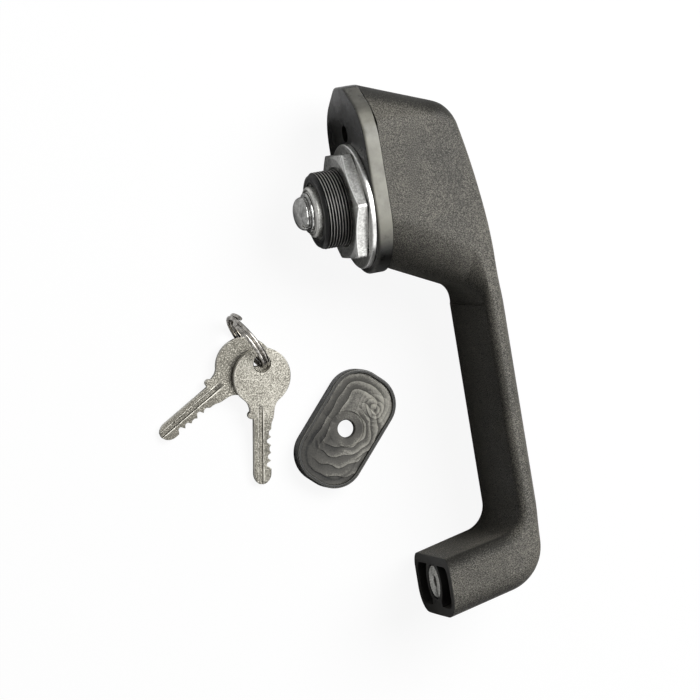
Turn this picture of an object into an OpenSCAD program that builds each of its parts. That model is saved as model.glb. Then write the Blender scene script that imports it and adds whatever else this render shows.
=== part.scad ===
// Door handle for a tractor cab: a moulded grip with a push-button key lock in its head,
// a threaded shank that clamps it through the door, a loose foot pad and a pair of keys.
// X points out from the door, Y up along the grip, Z up off the table that the set lies on.
// The origin is the shank axis at the door face of the head pad.

/* [Handle] */
// Gap from the door face to the inner face of the grip
grip_reach = 30.5; // [29:0.1:36]
// Thickness of the grip along its side edges
grip_edge = 5.1; // [4.4:0.1:7]
// Width across the head and the grip
handle_w = 40; // [39:0.5:48]
// Distance from the shank axis to the foot screw
screw_pitch = 120; // [105:1:150]
// Height of the head above the shank axis
head_high = 36.5; // [34:0.5:42]
// Depth of the head below the shank axis
head_low = 20.2; // [19.8:0.1:24]
// Reach of the head's top corner from the door
corner_reach = 29.4; // [28.6:0.1:33]
// Fall of the head's top face, in degrees
top_fall = 22.5; // [16:0.1:26]
// Fall of the head's underside, in degrees
underside_fall = 24.5; // [20:0.5:32]
// Height of the bend in the head's front face, from the shank axis
front_bend_y = -2.8; // [-8:0.1:2]
// Rise of the foot's upper face away from the door, in degrees
foot_top_rise = 10; // [7:0.5:15]
// Rise of the foot's lower face away from the door, in degrees
foot_bottom_rise = 13.9; // [9:0.1:17]
// Bulge of the head's front face across its width
head_crown = 2.2; // [1.5:0.1:4]
// Bulge of the grip's outer face across its width
grip_crown = 3.4; // [2.4:0.1:5]
// Radius of the head's top corner
head_corner_r = 13.2; // [9:0.1:15]
// Radius between the underside and the grip
upper_fillet_r = 7.8; // [5:0.1:10]
// Radius between the grip and the foot
lower_fillet_r = 8.6; // [5:0.1:10]
// Radius of the heel
heel_r = 14.4; // [10:0.1:17]

/* [Foot] */
// Width across the end of the foot
foot_end_w = 36; // [34:0.5:39]
// Height of the end of the foot
foot_end_h = 18.6; // [17.6:0.1:21]
// How far the foot screw sits above the middle of the foot's end
screw_offset = 1.1; // [0:0.05:1.3]
// Wall around the pockets in the foot
foot_wall = 2.9; // [2.4:0.1:3.6]
// Depth of the pockets in the foot
pocket_depth = 14; // [10:0.5:16]
// Diameter of the screw boss between the pockets
boss_d = 14.6; // [13.5:0.1:16]
// Diameter of the screw insert
insert_d = 10.9; // [9:0.1:11.4]
// Length of the screw insert
insert_l = 12; // [8:0.5:13]
// Tapping diameter of the foot screw
screw_hole_d = 4.2; // [3.3:0.1:5]

/* [Pads] */
// Thickness of the head pad and of the foot pad's floor
pad_t = 5; // [4:0.5:7]
// How far the head pad reaches below the head
pad_lip = 1.7; // [0.5:0.1:3]
// Height of the foot pad's rim above its floor
rim_h = 0.8; // [0.5:0.1:2]
// Width of the foot pad's rim
rim_w = 1.2; // [0.8:0.1:2]
// Diameter of the screw hole in the foot pad
foot_pad_hole_d = 5.5; // [5:0.1:7]
// Diameter of the spot face around that hole
spot_face_d = 11.4; // [9:0.1:13]
// Diameter of the locating hole in the head
locating_d = 5.4; // [4:0.1:6]
// Height of the locating hole above the shank axis
locating_pitch = 22; // [21:0.5:25]
// Depth of the locating hole behind the head pad
locating_depth = 6; // [4:0.5:10]

/* [Shank and clamp] */
// Outside diameter of the threaded shank
shank_d = 24; // [23:0.5:25]
// Length of shank behind the door face
shank_out = 13.7; // [12.5:0.1:24]
// Wall of the shank around the plunger
shank_wall = 3.4; // [3:0.1:4]
// Chamfer at the end of the shank
shank_chamfer = 0.8; // [0.4:0.1:1.2]
// Size of the clamp nut across its flats
nut_af = 32; // [30:0.5:36]
// Thickness of the clamp nut
nut_t = 4; // [3:0.5:5]
// Outside diameter of the washer
washer_d = 37.6; // [35:0.2:38.6]
// Thickness of the washer
washer_t = 1.6; // [1:0.1:2.5]
// Play of the washer round the shank
washer_play = 1.3; // [0.5:0.1:1.6]

/* [Lock] */
// Step from the shank out to the lock barrel
barrel_step = 1; // [0.6:0.1:1.5]
// Length of the lock barrel
barrel_l = 21.5; // [21:0.5:23]
// Wall of the lock barrel
barrel_wall = 2; // [1.6:0.1:2.4]
// Width of the lock flange round the barrel
flange_w = 3.5; // [3.2:0.1:4]
// Thickness of the lock flange
flange_t = 3; // [2.6:0.1:3.6]
// Wall of the handle that the lock barrel seats on
lip_t = 3; // [2:0.5:4]
// Travel of the push button
press_travel = 5; // [3:0.5:5.5]
// Diameter of the button where it shows
button_d = 20.2; // [18.6:0.1:20.8]
// How far the button stands out of its bezel
button_proud = 3.3; // [2:0.1:4]
// Length of the button's guide shoulder
shoulder_l = 13.9; // [13:0.1:14.4]
// Thickness of the bezel ring
bezel_t = 2.2; // [1.8:0.1:3]
// Depth of the seat for the bezel ring
bezel_sink = 1.5; // [1.1:0.1:1.8]
// Diameter of the lock plug
plug_d = 12.9; // [12.4:0.1:13.4]
// Diameter of the plunger rod
rod_d = 8; // [6:0.5:9]
// Length of the plunger head
plunger_head_l = 6.5; // [6.4:0.1:7.5]
// Wire diameter of the return spring
spring_wire_d = 1.2; // [0.8:0.1:1.4]
// Turns of the return spring
spring_turns = 5; // [3:1:6]
// Diameter of the plunger tip
tip_d = 10.5; // [9:0.1:12]

/* [Keys] */
// Diameter of a key's bow
bow_d = 18.4; // [17:0.2:20]
// Length of a key's blade
blade_l = 21.2; // [20.8:0.1:21.4]
// Width of a key's blade
blade_w = 5.6; // [5.2:0.1:5.8]
// Thickness of a key
key_t = 2; // [1.6:0.1:2.2]
// Diameter of the hole in a key's bow
key_hole_d = 5.4; // [5.2:0.1:6]
// Mean diameter of the split ring
ring_d = 18.4; // [18:0.2:24]
// Wire diameter of the split ring
ring_wire_d = 1.3; // [1:0.1:1.4]
// Number of wafers in the lock
wafer_n = 5; // [3:1:5]
// Spacing of the wafers
wafer_pitch = 2.5; // [2.2:0.1:2.6]

/* [Fits] */
// Radial clearance of a sliding fit
slide_fit = 0.08; // [0.04:0.01:0.1]
// Radial clearance of a seated piece
seat_fit = 0.05; // [0.02:0.01:0.1]
// End gap between pieces that move past each other
end_gap = 0.1; // [0.08:0.01:0.2]

/* [Hidden] */
$fn = 64;
cut = 1;

half_w = handle_w / 2;
table_z = -half_w;
front_x = grip_reach + grip_edge;

// Stations along the lock axis, from the door outwards
shank_r = shank_d / 2;
shank_bore_r = shank_r - shank_wall;
barrel_r = shank_r + barrel_step;
chamber_r = barrel_r - barrel_wall;
flange_r = barrel_r + flange_w;
barrel_x = pad_t + lip_t;
flange_x = barrel_x + barrel_l;
lock_face_x = flange_x + flange_t;
bezel_x = lock_face_x - bezel_sink;
bezel_face_x = bezel_x + bezel_t;
button_face_x = bezel_face_x + button_proud;

// Lock housing, its end seat and the handle's clearances round it
bezel_r = barrel_r + 0.45;
shank_hole_play = 0.2;
flange_play = 0.2;
end_seat_r = shank_bore_r + 0.42;
end_seat_depth = 2.7;
end_seat_x = end_seat_depth - shank_out;
circlip_t = 0.9;
circlip_bite = 0.4;
cap_flange_t = 1.05;
cap_boss_r = end_seat_r - 1.05;
cap_out = 1.7;
pin_r = 1;
pin_at = barrel_r + 1.9;
pin_l = 5.8;
pin_in_flange = 2.1;

// Plunger
rod_r = rod_d / 2;
rod_hole_r = rod_r + slide_fit;
plunger_head_r = shank_bore_r - slide_fit;
plunger_x = barrel_x - plunger_head_l;
spring_r = (rod_r + shank_bore_r) / 2;
slot_w = 3;
slot_l = 9;
slot_spare = 0.8;
tip_back_x = -shank_out - cap_out - end_gap;
tip_ring_r = tip_d / 2 + 1.05;
tip_ring_t = 0.9;
tip_neck_r = tip_d / 2 - 0.45;
tip_neck_t = 0.8;
tip_dome_h = 2.8;
spigot_r = 2.5;
spigot_l = 3.2;

// Button, plug and cam
button_r = button_d / 2;
shoulder_r = chamber_r - slide_fit;
shoulder_x1 = bezel_x - end_gap;
shoulder_x0 = shoulder_x1 - shoulder_l;
button_edge = 0.9;
seal_r = 0.75;
seal_x = shoulder_x1 - 2.4;
seal_floor_r = shoulder_r - 2 * seal_r - 0.02;
plug_r = plug_d / 2;
plug_head_r = plug_r + 0.95;
plug_head_t = 1.4;
plug_sink = 0.3;
plug_face_x = button_face_x - plug_sink;
plug_clip_t = 0.9;
plug_clip_x = shoulder_x0 - end_gap - plug_clip_t;
plug_groove_r = plug_r - 0.95;
plug_clip_r = plug_r + 1.75;
plug_tail = 1.5;
plug_back_x = plug_clip_x - plug_tail;
tang_r = 2;
cam_t = 2.1;
cam_r = 6;
cam_x = plug_back_x - cam_t;
strike_gap = 0.4;
strike_x = barrel_x + strike_gap;
strike_w = 8;
strike_t = 2.4;

// Wafers sit at the depths at which the key is cut
keyway_h = blade_w + 0.6;
keyway_w = key_t + 0.4;
keyway_end_x = plug_face_x - blade_l - 0.2;
wafer_first = 5;
wafer_t = 0.9;
wafer_w = 6;
wafer_h = 10.6;
wafer_slot_t = wafer_t + end_gap;
wafer_slot_w = wafer_w + 0.3;
wafer_window = [keyway_h + 0.4, keyway_w + 0.2];
function wafer_depth(i) = wafer_first + i * wafer_pitch;

// Foot
foot_top_y = -screw_pitch - screw_offset + foot_end_h / 2;
foot_low_y = foot_top_y - foot_end_h;
foot_mid_y = (foot_top_y + foot_low_y) / 2;
foot_slant = (foot_top_rise + foot_bottom_rise) / 2;
pocket_corner_r = 3.5;
web_half = 4.5;

// Foot pad, lying on the table beside the handle
rim_play = [0.1, 0.5];
foot_pad_l = foot_end_w + 2 * (rim_play.x + rim_w);
foot_pad_w = foot_end_h + 2 * (rim_play.y + rim_w);
foot_pad_corner_r = 7;
spot_face_depth = 0.3;
foot_pad_at = [-10.6, -69.3, table_z];
foot_pad_turn = -42;

// Keys and ring, lying on the table beside the handle
ring_r = ring_d / 2;
ring_wire_r = ring_wire_d / 2;
ring_pitch = ring_wire_d + 0.06;
ring_rest = 0.05;
ring_at = [-38.7, -36.3, table_z + ring_r + ring_wire_r + ring_rest];
ring_turn = -62.6;
ring_split = 147;
key_1_seat = 44.8;
key_2_seat = 20.3;
key_1_turn = -59.7;
key_2_turn = -7;
key_rest = 0.1;
bow_r = bow_d / 2;
key_hole_r = key_hole_d / 2;
key_rim = 2.2;
key_hole_y = bow_r - key_hole_r - key_rim;
neck_l = 12.9;
neck_w = 8;
lug_w = 5.2;
lug_h = 2;
blade_end_y = -neck_l - blade_l;
blade_point = 2.2;
bit_cuts = [0.9, 1.6, 0.7, 1.3, 1.7];
bit_flat = 0.35;
bit_flare = 1.1;
groove_w = 1.1;
groove_depth = 0.55;
groove_run = 4;

// Shared helpers

function mix(a, b, q) = a + (b - a) * q;
function line(p, q, n) = [for (i = [0:n]) mix(p, q, i / n)];
function polar(r, a) = r * [cos(a), sin(a)];
function arc(c, r, a0, a1, n) = [for (i = [0:n]) c + polar(r, mix(a0, a1, i / n))];
function curve(a, b, c, u0, u1, n) =
    [for (i = [0:n]) let (u = mix(u0, u1, i / n)) mix(mix(a, b, u), mix(b, c, u), u)];
function tail(l) = [for (i = [1:len(l) - 1]) l[i]];

// A round bar along X
module rod(x0, x1, r) {
    translate([x0, 0, 0]) rotate([0, 90, 0]) cylinder(h = x1 - x0, r = r);
}

// A cone along X
module taper(x0, x1, r0, r1) {
    translate([x0, 0, 0]) rotate([0, 90, 0]) cylinder(h = x1 - x0, r1 = r0, r2 = r1);
}

// A ring along X
module ring(x0, x1, r_in, r_out) {
    difference() {
        rod(x0, x1, r_out);
        rod(x0 - cut, x1 + cut, r_in);
    }
}

// A flat outline, drawn as Y and Z, carried along X
module across(x0, length) {
    translate([x0, 0, 0]) rotate([90, 0, 90]) linear_extrude(length) children();
}

// A rectangle with round corners about its middle
module round_rect(size, r) {
    square([size.x - 2 * r, size.y], center = true);
    square([size.x, size.y - 2 * r], center = true);
    for (sx = [-1, 1], sy = [-1, 1])
        translate([sx * (size.x / 2 - r), sy * (size.y / 2 - r)]) circle(r = r);
}

// A wire wound on a cylinder about Z
module coil(r, wire_r, turns, pitch, steps, sides) {
    last = turns * steps;
    points = [
        for (i = [0:last], j = [0:sides - 1])
            let (turn = 360 * i / steps, side = 360 * j / sides, out = r + wire_r * cos(side))
            [out * cos(turn), out * sin(turn), pitch * i / steps + wire_r * sin(side)]
    ];
    walls = [
        for (i = [0:last - 1], j = [0:sides - 1])
            let (k = (j + 1) % sides, a = i * sides, b = a + sides)
            each [[a + j, a + k, b + k], [a + j, b + k, b + j]]
    ];
    first_end = [for (j = [sides - 1:-1:0]) j];
    last_end = [for (j = [0:sides - 1]) last * sides + j];
    polyhedron(points, concat(walls, [first_end, last_end]));
}

// Handle body: sections carried from the head pad, round the head, down the grip and to the foot.
// Each section joins a point of the inner guide to a point of the outer guide.

under_start = [pad_t, -head_low];
under_end_y = -head_low - (grip_reach - pad_t) * tan(underside_fall);
upper_c = [
    grip_reach - upper_fillet_r,
    under_end_y - upper_fillet_r * tan((90 - underside_fall) / 2)
];
under_end = upper_c + polar(upper_fillet_r, 90 - underside_fall);
foot_top_end_y = foot_top_y + (grip_reach - pad_t) * tan(foot_top_rise);
lower_c = [
    grip_reach - lower_fillet_r,
    foot_top_end_y + lower_fillet_r * tan((90 - foot_top_rise) / 2)
];
inner_guide = concat(
    line(under_start, under_end, 12),
    tail(arc(upper_c, upper_fillet_r, 90 - underside_fall, 0, 4)),
    tail(line([grip_reach, upper_c.y], [grip_reach, lower_c.y], 2)),
    tail(arc(lower_c, lower_fillet_r, 0, foot_top_rise - 90, 8)),
    tail(line(lower_c + polar(lower_fillet_r, foot_top_rise - 90), [pad_t, foot_top_y], 3))
);

corner = [corner_reach, head_high - (corner_reach - pad_t) * tan(top_fall)];
front_bend = [front_x, front_bend_y];
front_end = [front_x, (front_bend.y + upper_c.y) / 2];
front_fall = atan2(corner.y - front_bend.y, front_bend.x - corner.x);
corner_half = (front_fall - top_fall) / 2;
corner_c = corner - polar(head_corner_r / cos(corner_half), 90 - (top_fall + front_fall) / 2);
front_start = corner_c + polar(head_corner_r, 90 - front_fall);
foot_low_end_y = foot_low_y + (front_x - pad_t) * tan(foot_bottom_rise);
heel_c = [front_x - heel_r, foot_low_end_y + heel_r * tan((90 - foot_bottom_rise) / 2)];
outer_guide = concat(
    line([pad_t, head_high], corner_c + polar(head_corner_r, 90 - top_fall), 3),
    tail(arc(corner_c, head_corner_r, 90 - top_fall, 90 - front_fall, 5)),
    tail(curve(front_start, front_bend, front_end, 0, 0.5, 4)),
    tail(curve(front_start, front_bend, front_end, 0.5, 1, 3)),
    [[front_x, upper_c.y]],
    tail(line([front_x, upper_c.y], [front_x, lower_c.y], 2)),
    tail(line([front_x, lower_c.y], [front_x, heel_c.y], 2)),
    tail(arc(heel_c, heel_r, 0, foot_bottom_rise - 90, 6)),
    tail(line(heel_c + polar(heel_r, foot_bottom_rise - 90), [pad_t, foot_low_y], 3))
);

// Stage of the path at each section: 0 to 1 head, 1 to 2 bend, 2 to 3 grip, 3 to 4 bend, 4 to 5 foot
stage = concat(
    line(0, 1, 12), tail(line(1, 2, 4)), tail(line(2, 3, 2)), tail(line(3, 4, 8)), tail(line(4, 5, 3))
);
head_inset = 0.4;
crease_sweep = 76;
width_at = [[0, half_w - head_inset], [0.25, half_w], [4, half_w], [5, foot_end_w / 2]];
inner_corner_w = [[0, half_w - 1], [1, 10.2], [2, 2.5], [3, 2.5], [4, 3], [5, 4]];
inner_corner_h = [[0, 14.6], [1, 11.2], [2, 2], [3, 2], [4, 3.5], [5, 4]];
outer_corner_w = [[0, 15], [0.4, 5], [1, 5], [2, 4], [3, 4], [4, 7], [5, 8]];
outer_corner_h = [[0, 9.6], [0.4, 4], [1, 4], [2, 1.6], [3, 1.6], [4, 6], [5, 7.5]];
outer_power = [[0, 1], [0.3, 2], [5, 2]];
outer_crown = [
    [0, 0], [0.3, 0], [0.65, head_crown], [1, head_crown], [2, grip_crown], [3, grip_crown], [4, 0.4], [5, 0.2]
];
inner_crown = [[0, 0], [1, 0], [2, 1.2], [3, 1.2], [4, 0.5], [5, 0]];
corner_steps = 5;

// One half of a section, as distance from the middle plane and distance from the inner guide
function half_section(t, depth) =
    let (
        w = lookup(t, width_at),
        ci = [lookup(t, inner_corner_w), lookup(t, inner_corner_h)],
        co = [lookup(t, outer_corner_w), lookup(t, outer_corner_h)],
        power = 2 / lookup(t, outer_power),
        sweep = [for (i = [0:corner_steps]) 90 * i / corner_steps],
        inner = concat(
            [[0, 0], [(w - ci.x) / 2, 0]],
            [for (a = sweep * crease_sweep / 90) [
                w - ci.x + ci.x * sin(a) / sin(crease_sweep),
                ci.y * (1 - cos(a)) / (1 - cos(crease_sweep))
            ]]
        ),
        outer = concat(
            [for (a = sweep) [
                w - co.x + co.x * pow(cos(a), power),
                depth - co.y + co.y * pow(sin(a), power)
            ]],
            [for (q = [0.75, 0.5, 0.25, 0]) [(w - co.x) * q, depth]]
        ),
        bulge_in = lookup(t, inner_crown),
        bulge_out = lookup(t, outer_crown)
    )
    concat(
        [for (p = inner) [p.x, p.y - bulge_in * (1 - pow(p.x / w, 2))]],
        [[w, (ci.y + depth - co.y) / 2]],
        [for (p = outer) [p.x, p.y + bulge_out * (1 - pow(p.x / w, 2))]]
    );

// A whole section, mirrored about the middle plane and stood on its pair of guide points
function section(i) =
    let (
        from = inner_guide[i],
        span = outer_guide[i] - from,
        along = span / norm(span),
        half = half_section(stage[i], norm(span)),
        back = [for (j = [len(half) - 2:-1:1]) [-half[j].x, half[j].y]]
    )
    [for (p = concat(half, back)) [from.x + along.x * p.y, from.y + along.y * p.y, p.x]];

// A skin over the sections, closed at each end by a fan about its middle
module loft(sections) {
    n = len(sections[0]);
    ends = [sections[0], sections[len(sections) - 1]];
    count = n * len(sections);
    points = concat([for (s = sections) each s], [for (s = ends) (s[0] + s[n / 2]) / 2]);
    walls = [
        for (i = [0:len(sections) - 2], j = [0:n - 1])
            let (k = (j + 1) % n, a = i * n, b = a + n)
            each [[a + j, a + k, b + k], [a + j, b + k, b + j]]
    ];
    first_end = [for (j = [0:n - 1]) [count, (j + 1) % n, j]];
    last_end = [for (j = [0:n - 1]) [count + 1, count - n + j, count - n + (j + 1) % n]];
    polyhedron(points, concat(walls, first_end, last_end));
}

// Stepped bore for the lock, with an open pocket for its flange
module lock_cavity() {
    rod(pad_t - cut, barrel_x + cut, shank_r + shank_hole_play);
    rod(barrel_x, flange_x + cut, barrel_r + seat_fit);
    rod(flange_x, front_x + head_crown + cut, flange_r + flange_play);
    translate([0, -pin_at, 0]) rod(flange_x - pin_l + pin_in_flange, flange_x + cut, pin_r + seat_fit);
}

// Two pockets beside the screw boss, along the slant of the foot
module foot_cavity() {
    size = [foot_end_h - 2 * foot_wall, foot_end_w - 2 * foot_wall];
    difference() {
        translate([pad_t, foot_mid_y, 0]) rotate([0, 0, foot_slant]) across(-cut * 3, pocket_depth + cut * 3)
            difference() {
                round_rect(size, pocket_corner_r);
                square([2 * size.x, 2 * web_half], center = true);
            }
        translate([0, -screw_pitch, 0]) rod(0, pad_t + 2 * pocket_depth, boss_d / 2);
    }
    translate([0, -screw_pitch, 0]) rod(pad_t - cut, pad_t + insert_l, insert_d / 2 + seat_fit);
}

module locating_hole(x0, x1) {
    translate([0, locating_pitch, 0]) rod(x0, x1, locating_d / 2);
}

module handle_body() {
    color("#4b4c4b") difference() {
        loft([for (i = [0:len(stage) - 1]) section(i)]);
        lock_cavity();
        foot_cavity();
        locating_hole(pad_t - cut, pad_t + locating_depth);
    }
}

// The pad follows the head's outline, with a round lip below
module head_pad() {
    lip_y = half_w - head_low - pad_lip;
    top_chamfer_y = head_high - outer_corner_h[0][1];
    top_half = half_w - outer_corner_w[0][1];
    color("#1b1b1a") difference() {
        across(0, pad_t) union() {
            translate([lip_y, 0]) circle(r = half_w);
            polygon([
                [lip_y, -half_w], [top_chamfer_y, -half_w], [head_high, -top_half],
                [head_high, top_half], [top_chamfer_y, half_w], [lip_y, half_w]
            ]);
        }
        rod(-cut, pad_t + cut, shank_r + shank_hole_play);
        locating_hole(-cut, pad_t + cut);
    }
}

module foot_insert() {
    color("#8d8c88") translate([0, -screw_pitch, 0])
        ring(pad_t, pad_t + insert_l, screw_hole_d / 2, insert_d / 2);
}

module lock_housing() {
    groove_x = end_seat_x - cap_flange_t - end_gap - circlip_t - seat_fit;
    color("#2a2a2a") difference() {
        union() {
            taper(-shank_out, shank_chamfer - shank_out, shank_r - shank_chamfer, shank_r);
            rod(shank_chamfer - shank_out, barrel_x, shank_r);
            rod(barrel_x, flange_x, barrel_r);
            rod(flange_x, lock_face_x, flange_r);
        }
        rod(-shank_out - cut, end_seat_x, end_seat_r);
        rod(groove_x, groove_x + circlip_t + 2 * seat_fit, end_seat_r + circlip_bite + end_gap);
        rod(end_seat_x - cut, barrel_x + cut, shank_bore_r);
        rod(barrel_x, lock_face_x, chamber_r);
        rod(bezel_x, lock_face_x + cut, bezel_r + seat_fit);
        translate([0, -pin_at, 0]) rod(flange_x - cut, flange_x + pin_in_flange + end_gap, pin_r + seat_fit);
    }
}

module locating_pin() {
    color("#b9b8b4") translate([0, -pin_at, 0])
        rod(flange_x - pin_l + pin_in_flange + end_gap, flange_x + pin_in_flange, pin_r);
}

module bezel_ring() {
    bevel = 0.6;
    color("#303030") difference() {
        union() {
            rod(bezel_x, bezel_face_x - bevel, bezel_r);
            taper(bezel_face_x - bevel, bezel_face_x, bezel_r, bezel_r - bevel);
        }
        rod(bezel_x - cut, bezel_face_x + cut, button_r + 2 * slide_fit);
    }
}

// The washer hangs on the shank, so it sits below the shank axis
module clamp_washer() {
    color("#c9c9c6") translate([0, end_gap - washer_play, 0])
        difference() {
            rod(-washer_t, 0, washer_d / 2);
            rod(-washer_t - cut, cut, shank_r + washer_play);
        }
}

module clamp_nut() {
    corner_r = nut_af / 2 / cos(30);
    face_r = 0.97 * nut_af / 2;
    clear_r = corner_r + 0.4;
    chamfer_l = 0.4 * (clear_r - face_r);
    back_x = -washer_t - nut_t;
    color("#bdbdba") difference() {
        intersection() {
            translate([back_x, 0, 0]) rotate([0, 90, 0]) cylinder(h = nut_t, r = corner_r, $fn = 6);
            rotate([0, 90, 0]) rotate_extrude() polygon([
                [0, back_x], [face_r, back_x], [clear_r, back_x + chamfer_l],
                [clear_r, -washer_t - chamfer_l], [face_r, -washer_t], [0, -washer_t]
            ]);
        }
        rod(back_x - cut, cut, shank_r + seat_fit);
    }
}

module shank_end_cap() {
    color("#8a8a86") difference() {
        union() {
            rod(end_seat_x - cap_flange_t, end_seat_x, end_seat_r - end_gap);
            rod(-shank_out - cap_out, end_seat_x - cap_flange_t, cap_boss_r);
        }
        rod(-shank_out - cap_out - cut, end_seat_x + cut, rod_hole_r);
    }
}

module end_cap_circlip() {
    x1 = end_seat_x - cap_flange_t - end_gap;
    gap_w = 3;
    color("#3a3a3a") difference() {
        ring(x1 - circlip_t, x1, cap_boss_r + end_gap, end_seat_r + circlip_bite);
        translate([x1 - circlip_t - cut, 0, -gap_w / 2]) cube([circlip_t + 2 * cut, 2 * end_seat_r, gap_w]);
    }
}

module push_button() {
    color("#252525") difference() {
        union() {
            rod(shoulder_x0, shoulder_x1, shoulder_r);
            rod(shoulder_x1, button_face_x - button_edge, button_r);
            taper(button_face_x - button_edge, button_face_x, button_r, button_r - button_edge);
        }
        rod(shoulder_x0 - cut, button_face_x + cut, plug_r + seat_fit);
        rod(plug_face_x - plug_head_t - end_gap, button_face_x + cut, plug_head_r + end_gap);
        ring(seal_x - seal_r - end_gap, seal_x + seal_r + end_gap, seal_floor_r, chamber_r);
    }
}

module button_seal() {
    color("#161616") translate([seal_x, 0, 0]) rotate([0, 90, 0])
        rotate_extrude() translate([shoulder_r - seal_r, 0]) circle(r = seal_r, $fn = 24);
}

// The plug carries the keyway and one slot for each wafer
module lock_plug() {
    color("#c4bd9f") difference() {
        union() {
            rod(plug_face_x - plug_head_t, plug_face_x, plug_head_r);
            rod(plug_back_x, plug_face_x - plug_head_t, plug_r);
            rod(cam_x, plug_back_x, tang_r);
        }
        across(keyway_end_x, blade_l + 2 * cut) square([keyway_h, keyway_w], center = true);
        for (i = [0:wafer_n - 1])
            across(plug_face_x - wafer_depth(i) - wafer_slot_t / 2, wafer_slot_t)
                square([2 * plug_d, wafer_slot_w], center = true);
        ring(plug_clip_x - seat_fit, plug_clip_x + plug_clip_t + seat_fit, plug_groove_r, plug_head_r);
    }
}

module wafer_tumblers() {
    color("#c9a24a") for (i = [0:wafer_n - 1])
        across(plug_face_x - wafer_depth(i) - wafer_t / 2, wafer_t)
            difference() {
                square([wafer_h, wafer_w], center = true);
                square(wafer_window, center = true);
            }
}

module plug_clip() {
    gap_w = 2 * plug_groove_r - 1.4;
    color("#55565a") difference() {
        ring(plug_clip_x, plug_clip_x + plug_clip_t, plug_groove_r + end_gap, plug_clip_r);
        across(plug_clip_x - cut, plug_clip_t + 2 * cut)
            translate([0, -gap_w / 2]) square([2 * plug_clip_r, gap_w]);
    }
}

// The blade strikes the plunger, or drops into its slot when the plug is turned
module drive_cam() {
    color("#a7a6a1") {
        ring(cam_x, plug_back_x, tang_r + seat_fit, cam_r);
        across(strike_x, cam_x - strike_x) square([strike_w, strike_t], center = true);
    }
}

module plunger_rod() {
    color("#9a9a96") difference() {
        union() {
            rod(plunger_x, barrel_x, plunger_head_r);
            rod(tip_back_x, plunger_x, rod_r);
            rod(tip_back_x - spigot_l, tip_back_x, spigot_r);
        }
        across(barrel_x - press_travel - slot_spare, press_travel + slot_spare + cut)
            square([slot_w, slot_l], center = true);
    }
}

module plunger_tip() {
    neck_x = tip_back_x - tip_ring_t;
    dome_x = neck_x - tip_neck_t;
    tip_r = tip_d / 2;
    dome_r = (tip_r * tip_r + tip_dome_h * tip_dome_h) / (2 * tip_dome_h);
    color("#dcdcd8") difference() {
        union() {
            rod(neck_x, tip_back_x, tip_ring_r);
            rod(dome_x, neck_x, tip_neck_r);
            intersection() {
                translate([dome_x - tip_dome_h + dome_r, 0, 0]) rotate([0, 90, 0]) sphere(r = dome_r);
                rod(dome_x - tip_dome_h - cut, dome_x, tip_r);
            }
        }
        rod(tip_back_x - spigot_l - end_gap, tip_back_x + cut, spigot_r + seat_fit);
    }
}

module return_spring() {
    wire_r = spring_wire_d / 2;
    first_x = end_seat_x + wire_r + seat_fit;
    rise = plunger_x - wire_r - seat_fit - first_x;
    color("#77787a") translate([first_x, 0, 0]) rotate([0, 90, 0])
        coil(spring_r, wire_r, spring_turns, rise / spring_turns, 16, 6);
}

// A shallow tray that the end of the foot sits in
module foot_pad() {
    floor_size = [foot_pad_w - 2 * rim_w, foot_pad_l - 2 * rim_w];
    color("#2c2c2b") translate(foot_pad_at) rotate([0, 0, foot_pad_turn]) difference() {
        linear_extrude(pad_t + rim_h) round_rect([foot_pad_w, foot_pad_l], foot_pad_corner_r);
        translate([0, 0, pad_t]) linear_extrude(rim_h + cut) round_rect(floor_size, foot_pad_corner_r - rim_w);
        translate([0, 0, pad_t - spot_face_depth]) cylinder(h = rim_h, d = spot_face_d);
        translate([0, 0, -cut]) cylinder(h = pad_t + 2 * cut, d = foot_pad_hole_d);
    }
}

// Two turns of wire, standing on the table
module key_ring() {
    color("#9d9d9b") translate(ring_at) rotate([90, 0, ring_turn]) rotate([0, 0, ring_split])
        translate([0, 0, -ring_pitch]) coil(ring_r, ring_wire_r, 2, ring_pitch, 24, 8);
}

// Outline of a key that points down, with its bow about the origin
module key_outline() {
    right = blade_w / 2;
    neck = neck_w / 2;
    bits = [
        for (i = [0:wafer_n - 1])
            let (y = -neck_l - wafer_depth(i), in = right - bit_cuts[i])
            each [[right, y + bit_flare], [in, y + bit_flat], [in, y - bit_flat], [right, y - bit_flare]]
    ];
    stem = concat(
        [[-neck, 0], [neck, 0], [neck, -neck_l], [right, -neck_l]],
        bits,
        [[right, blade_end_y + blade_point], [-right / 3, blade_end_y], [-right, blade_end_y + blade_point]],
        [[-right, -neck_l], [-lug_w, -neck_l], [-lug_w, lug_h - neck_l], [-neck, lug_h - neck_l]]
    );
    difference() {
        union() {
            circle(r = bow_r);
            polygon(stem);
        }
        translate([0, key_hole_y]) circle(r = key_hole_r);
    }
}

// A key about its hole, at mid thickness, with a milled groove down each face
module key() {
    translate([0, -key_hole_y, -key_t / 2]) {
        for (z = [0, key_t - groove_depth])
            translate([0, 0, z]) linear_extrude(groove_depth) difference() {
                key_outline();
                translate([-groove_w, blade_end_y - cut]) square([groove_w, blade_l + groove_run + cut]);
            }
        translate([0, 0, groove_depth]) linear_extrude(key_t - 2 * groove_depth) key_outline();
    }
}

// Where the ring passes a key, and the key's slope down to the table
function key_at(seat) =
    ring_at + ring_r * [cos(seat) * cos(ring_turn), cos(seat) * sin(ring_turn), -sin(seat)];
function key_tilt(seat) =
    asin((key_at(seat).z - table_z - key_t / 2 - key_rest) / (key_hole_y - blade_end_y));

module hung_key(seat, turn) {
    translate(key_at(seat)) rotate([0, 0, turn]) rotate([key_tilt(seat), 0, 0]) key();
}

module key_1() {
    color("#a9a59a") hung_key(key_1_seat, key_1_turn);
}

module key_2() {
    color("#a9a59a") hung_key(key_2_seat, key_2_turn);
}

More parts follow.
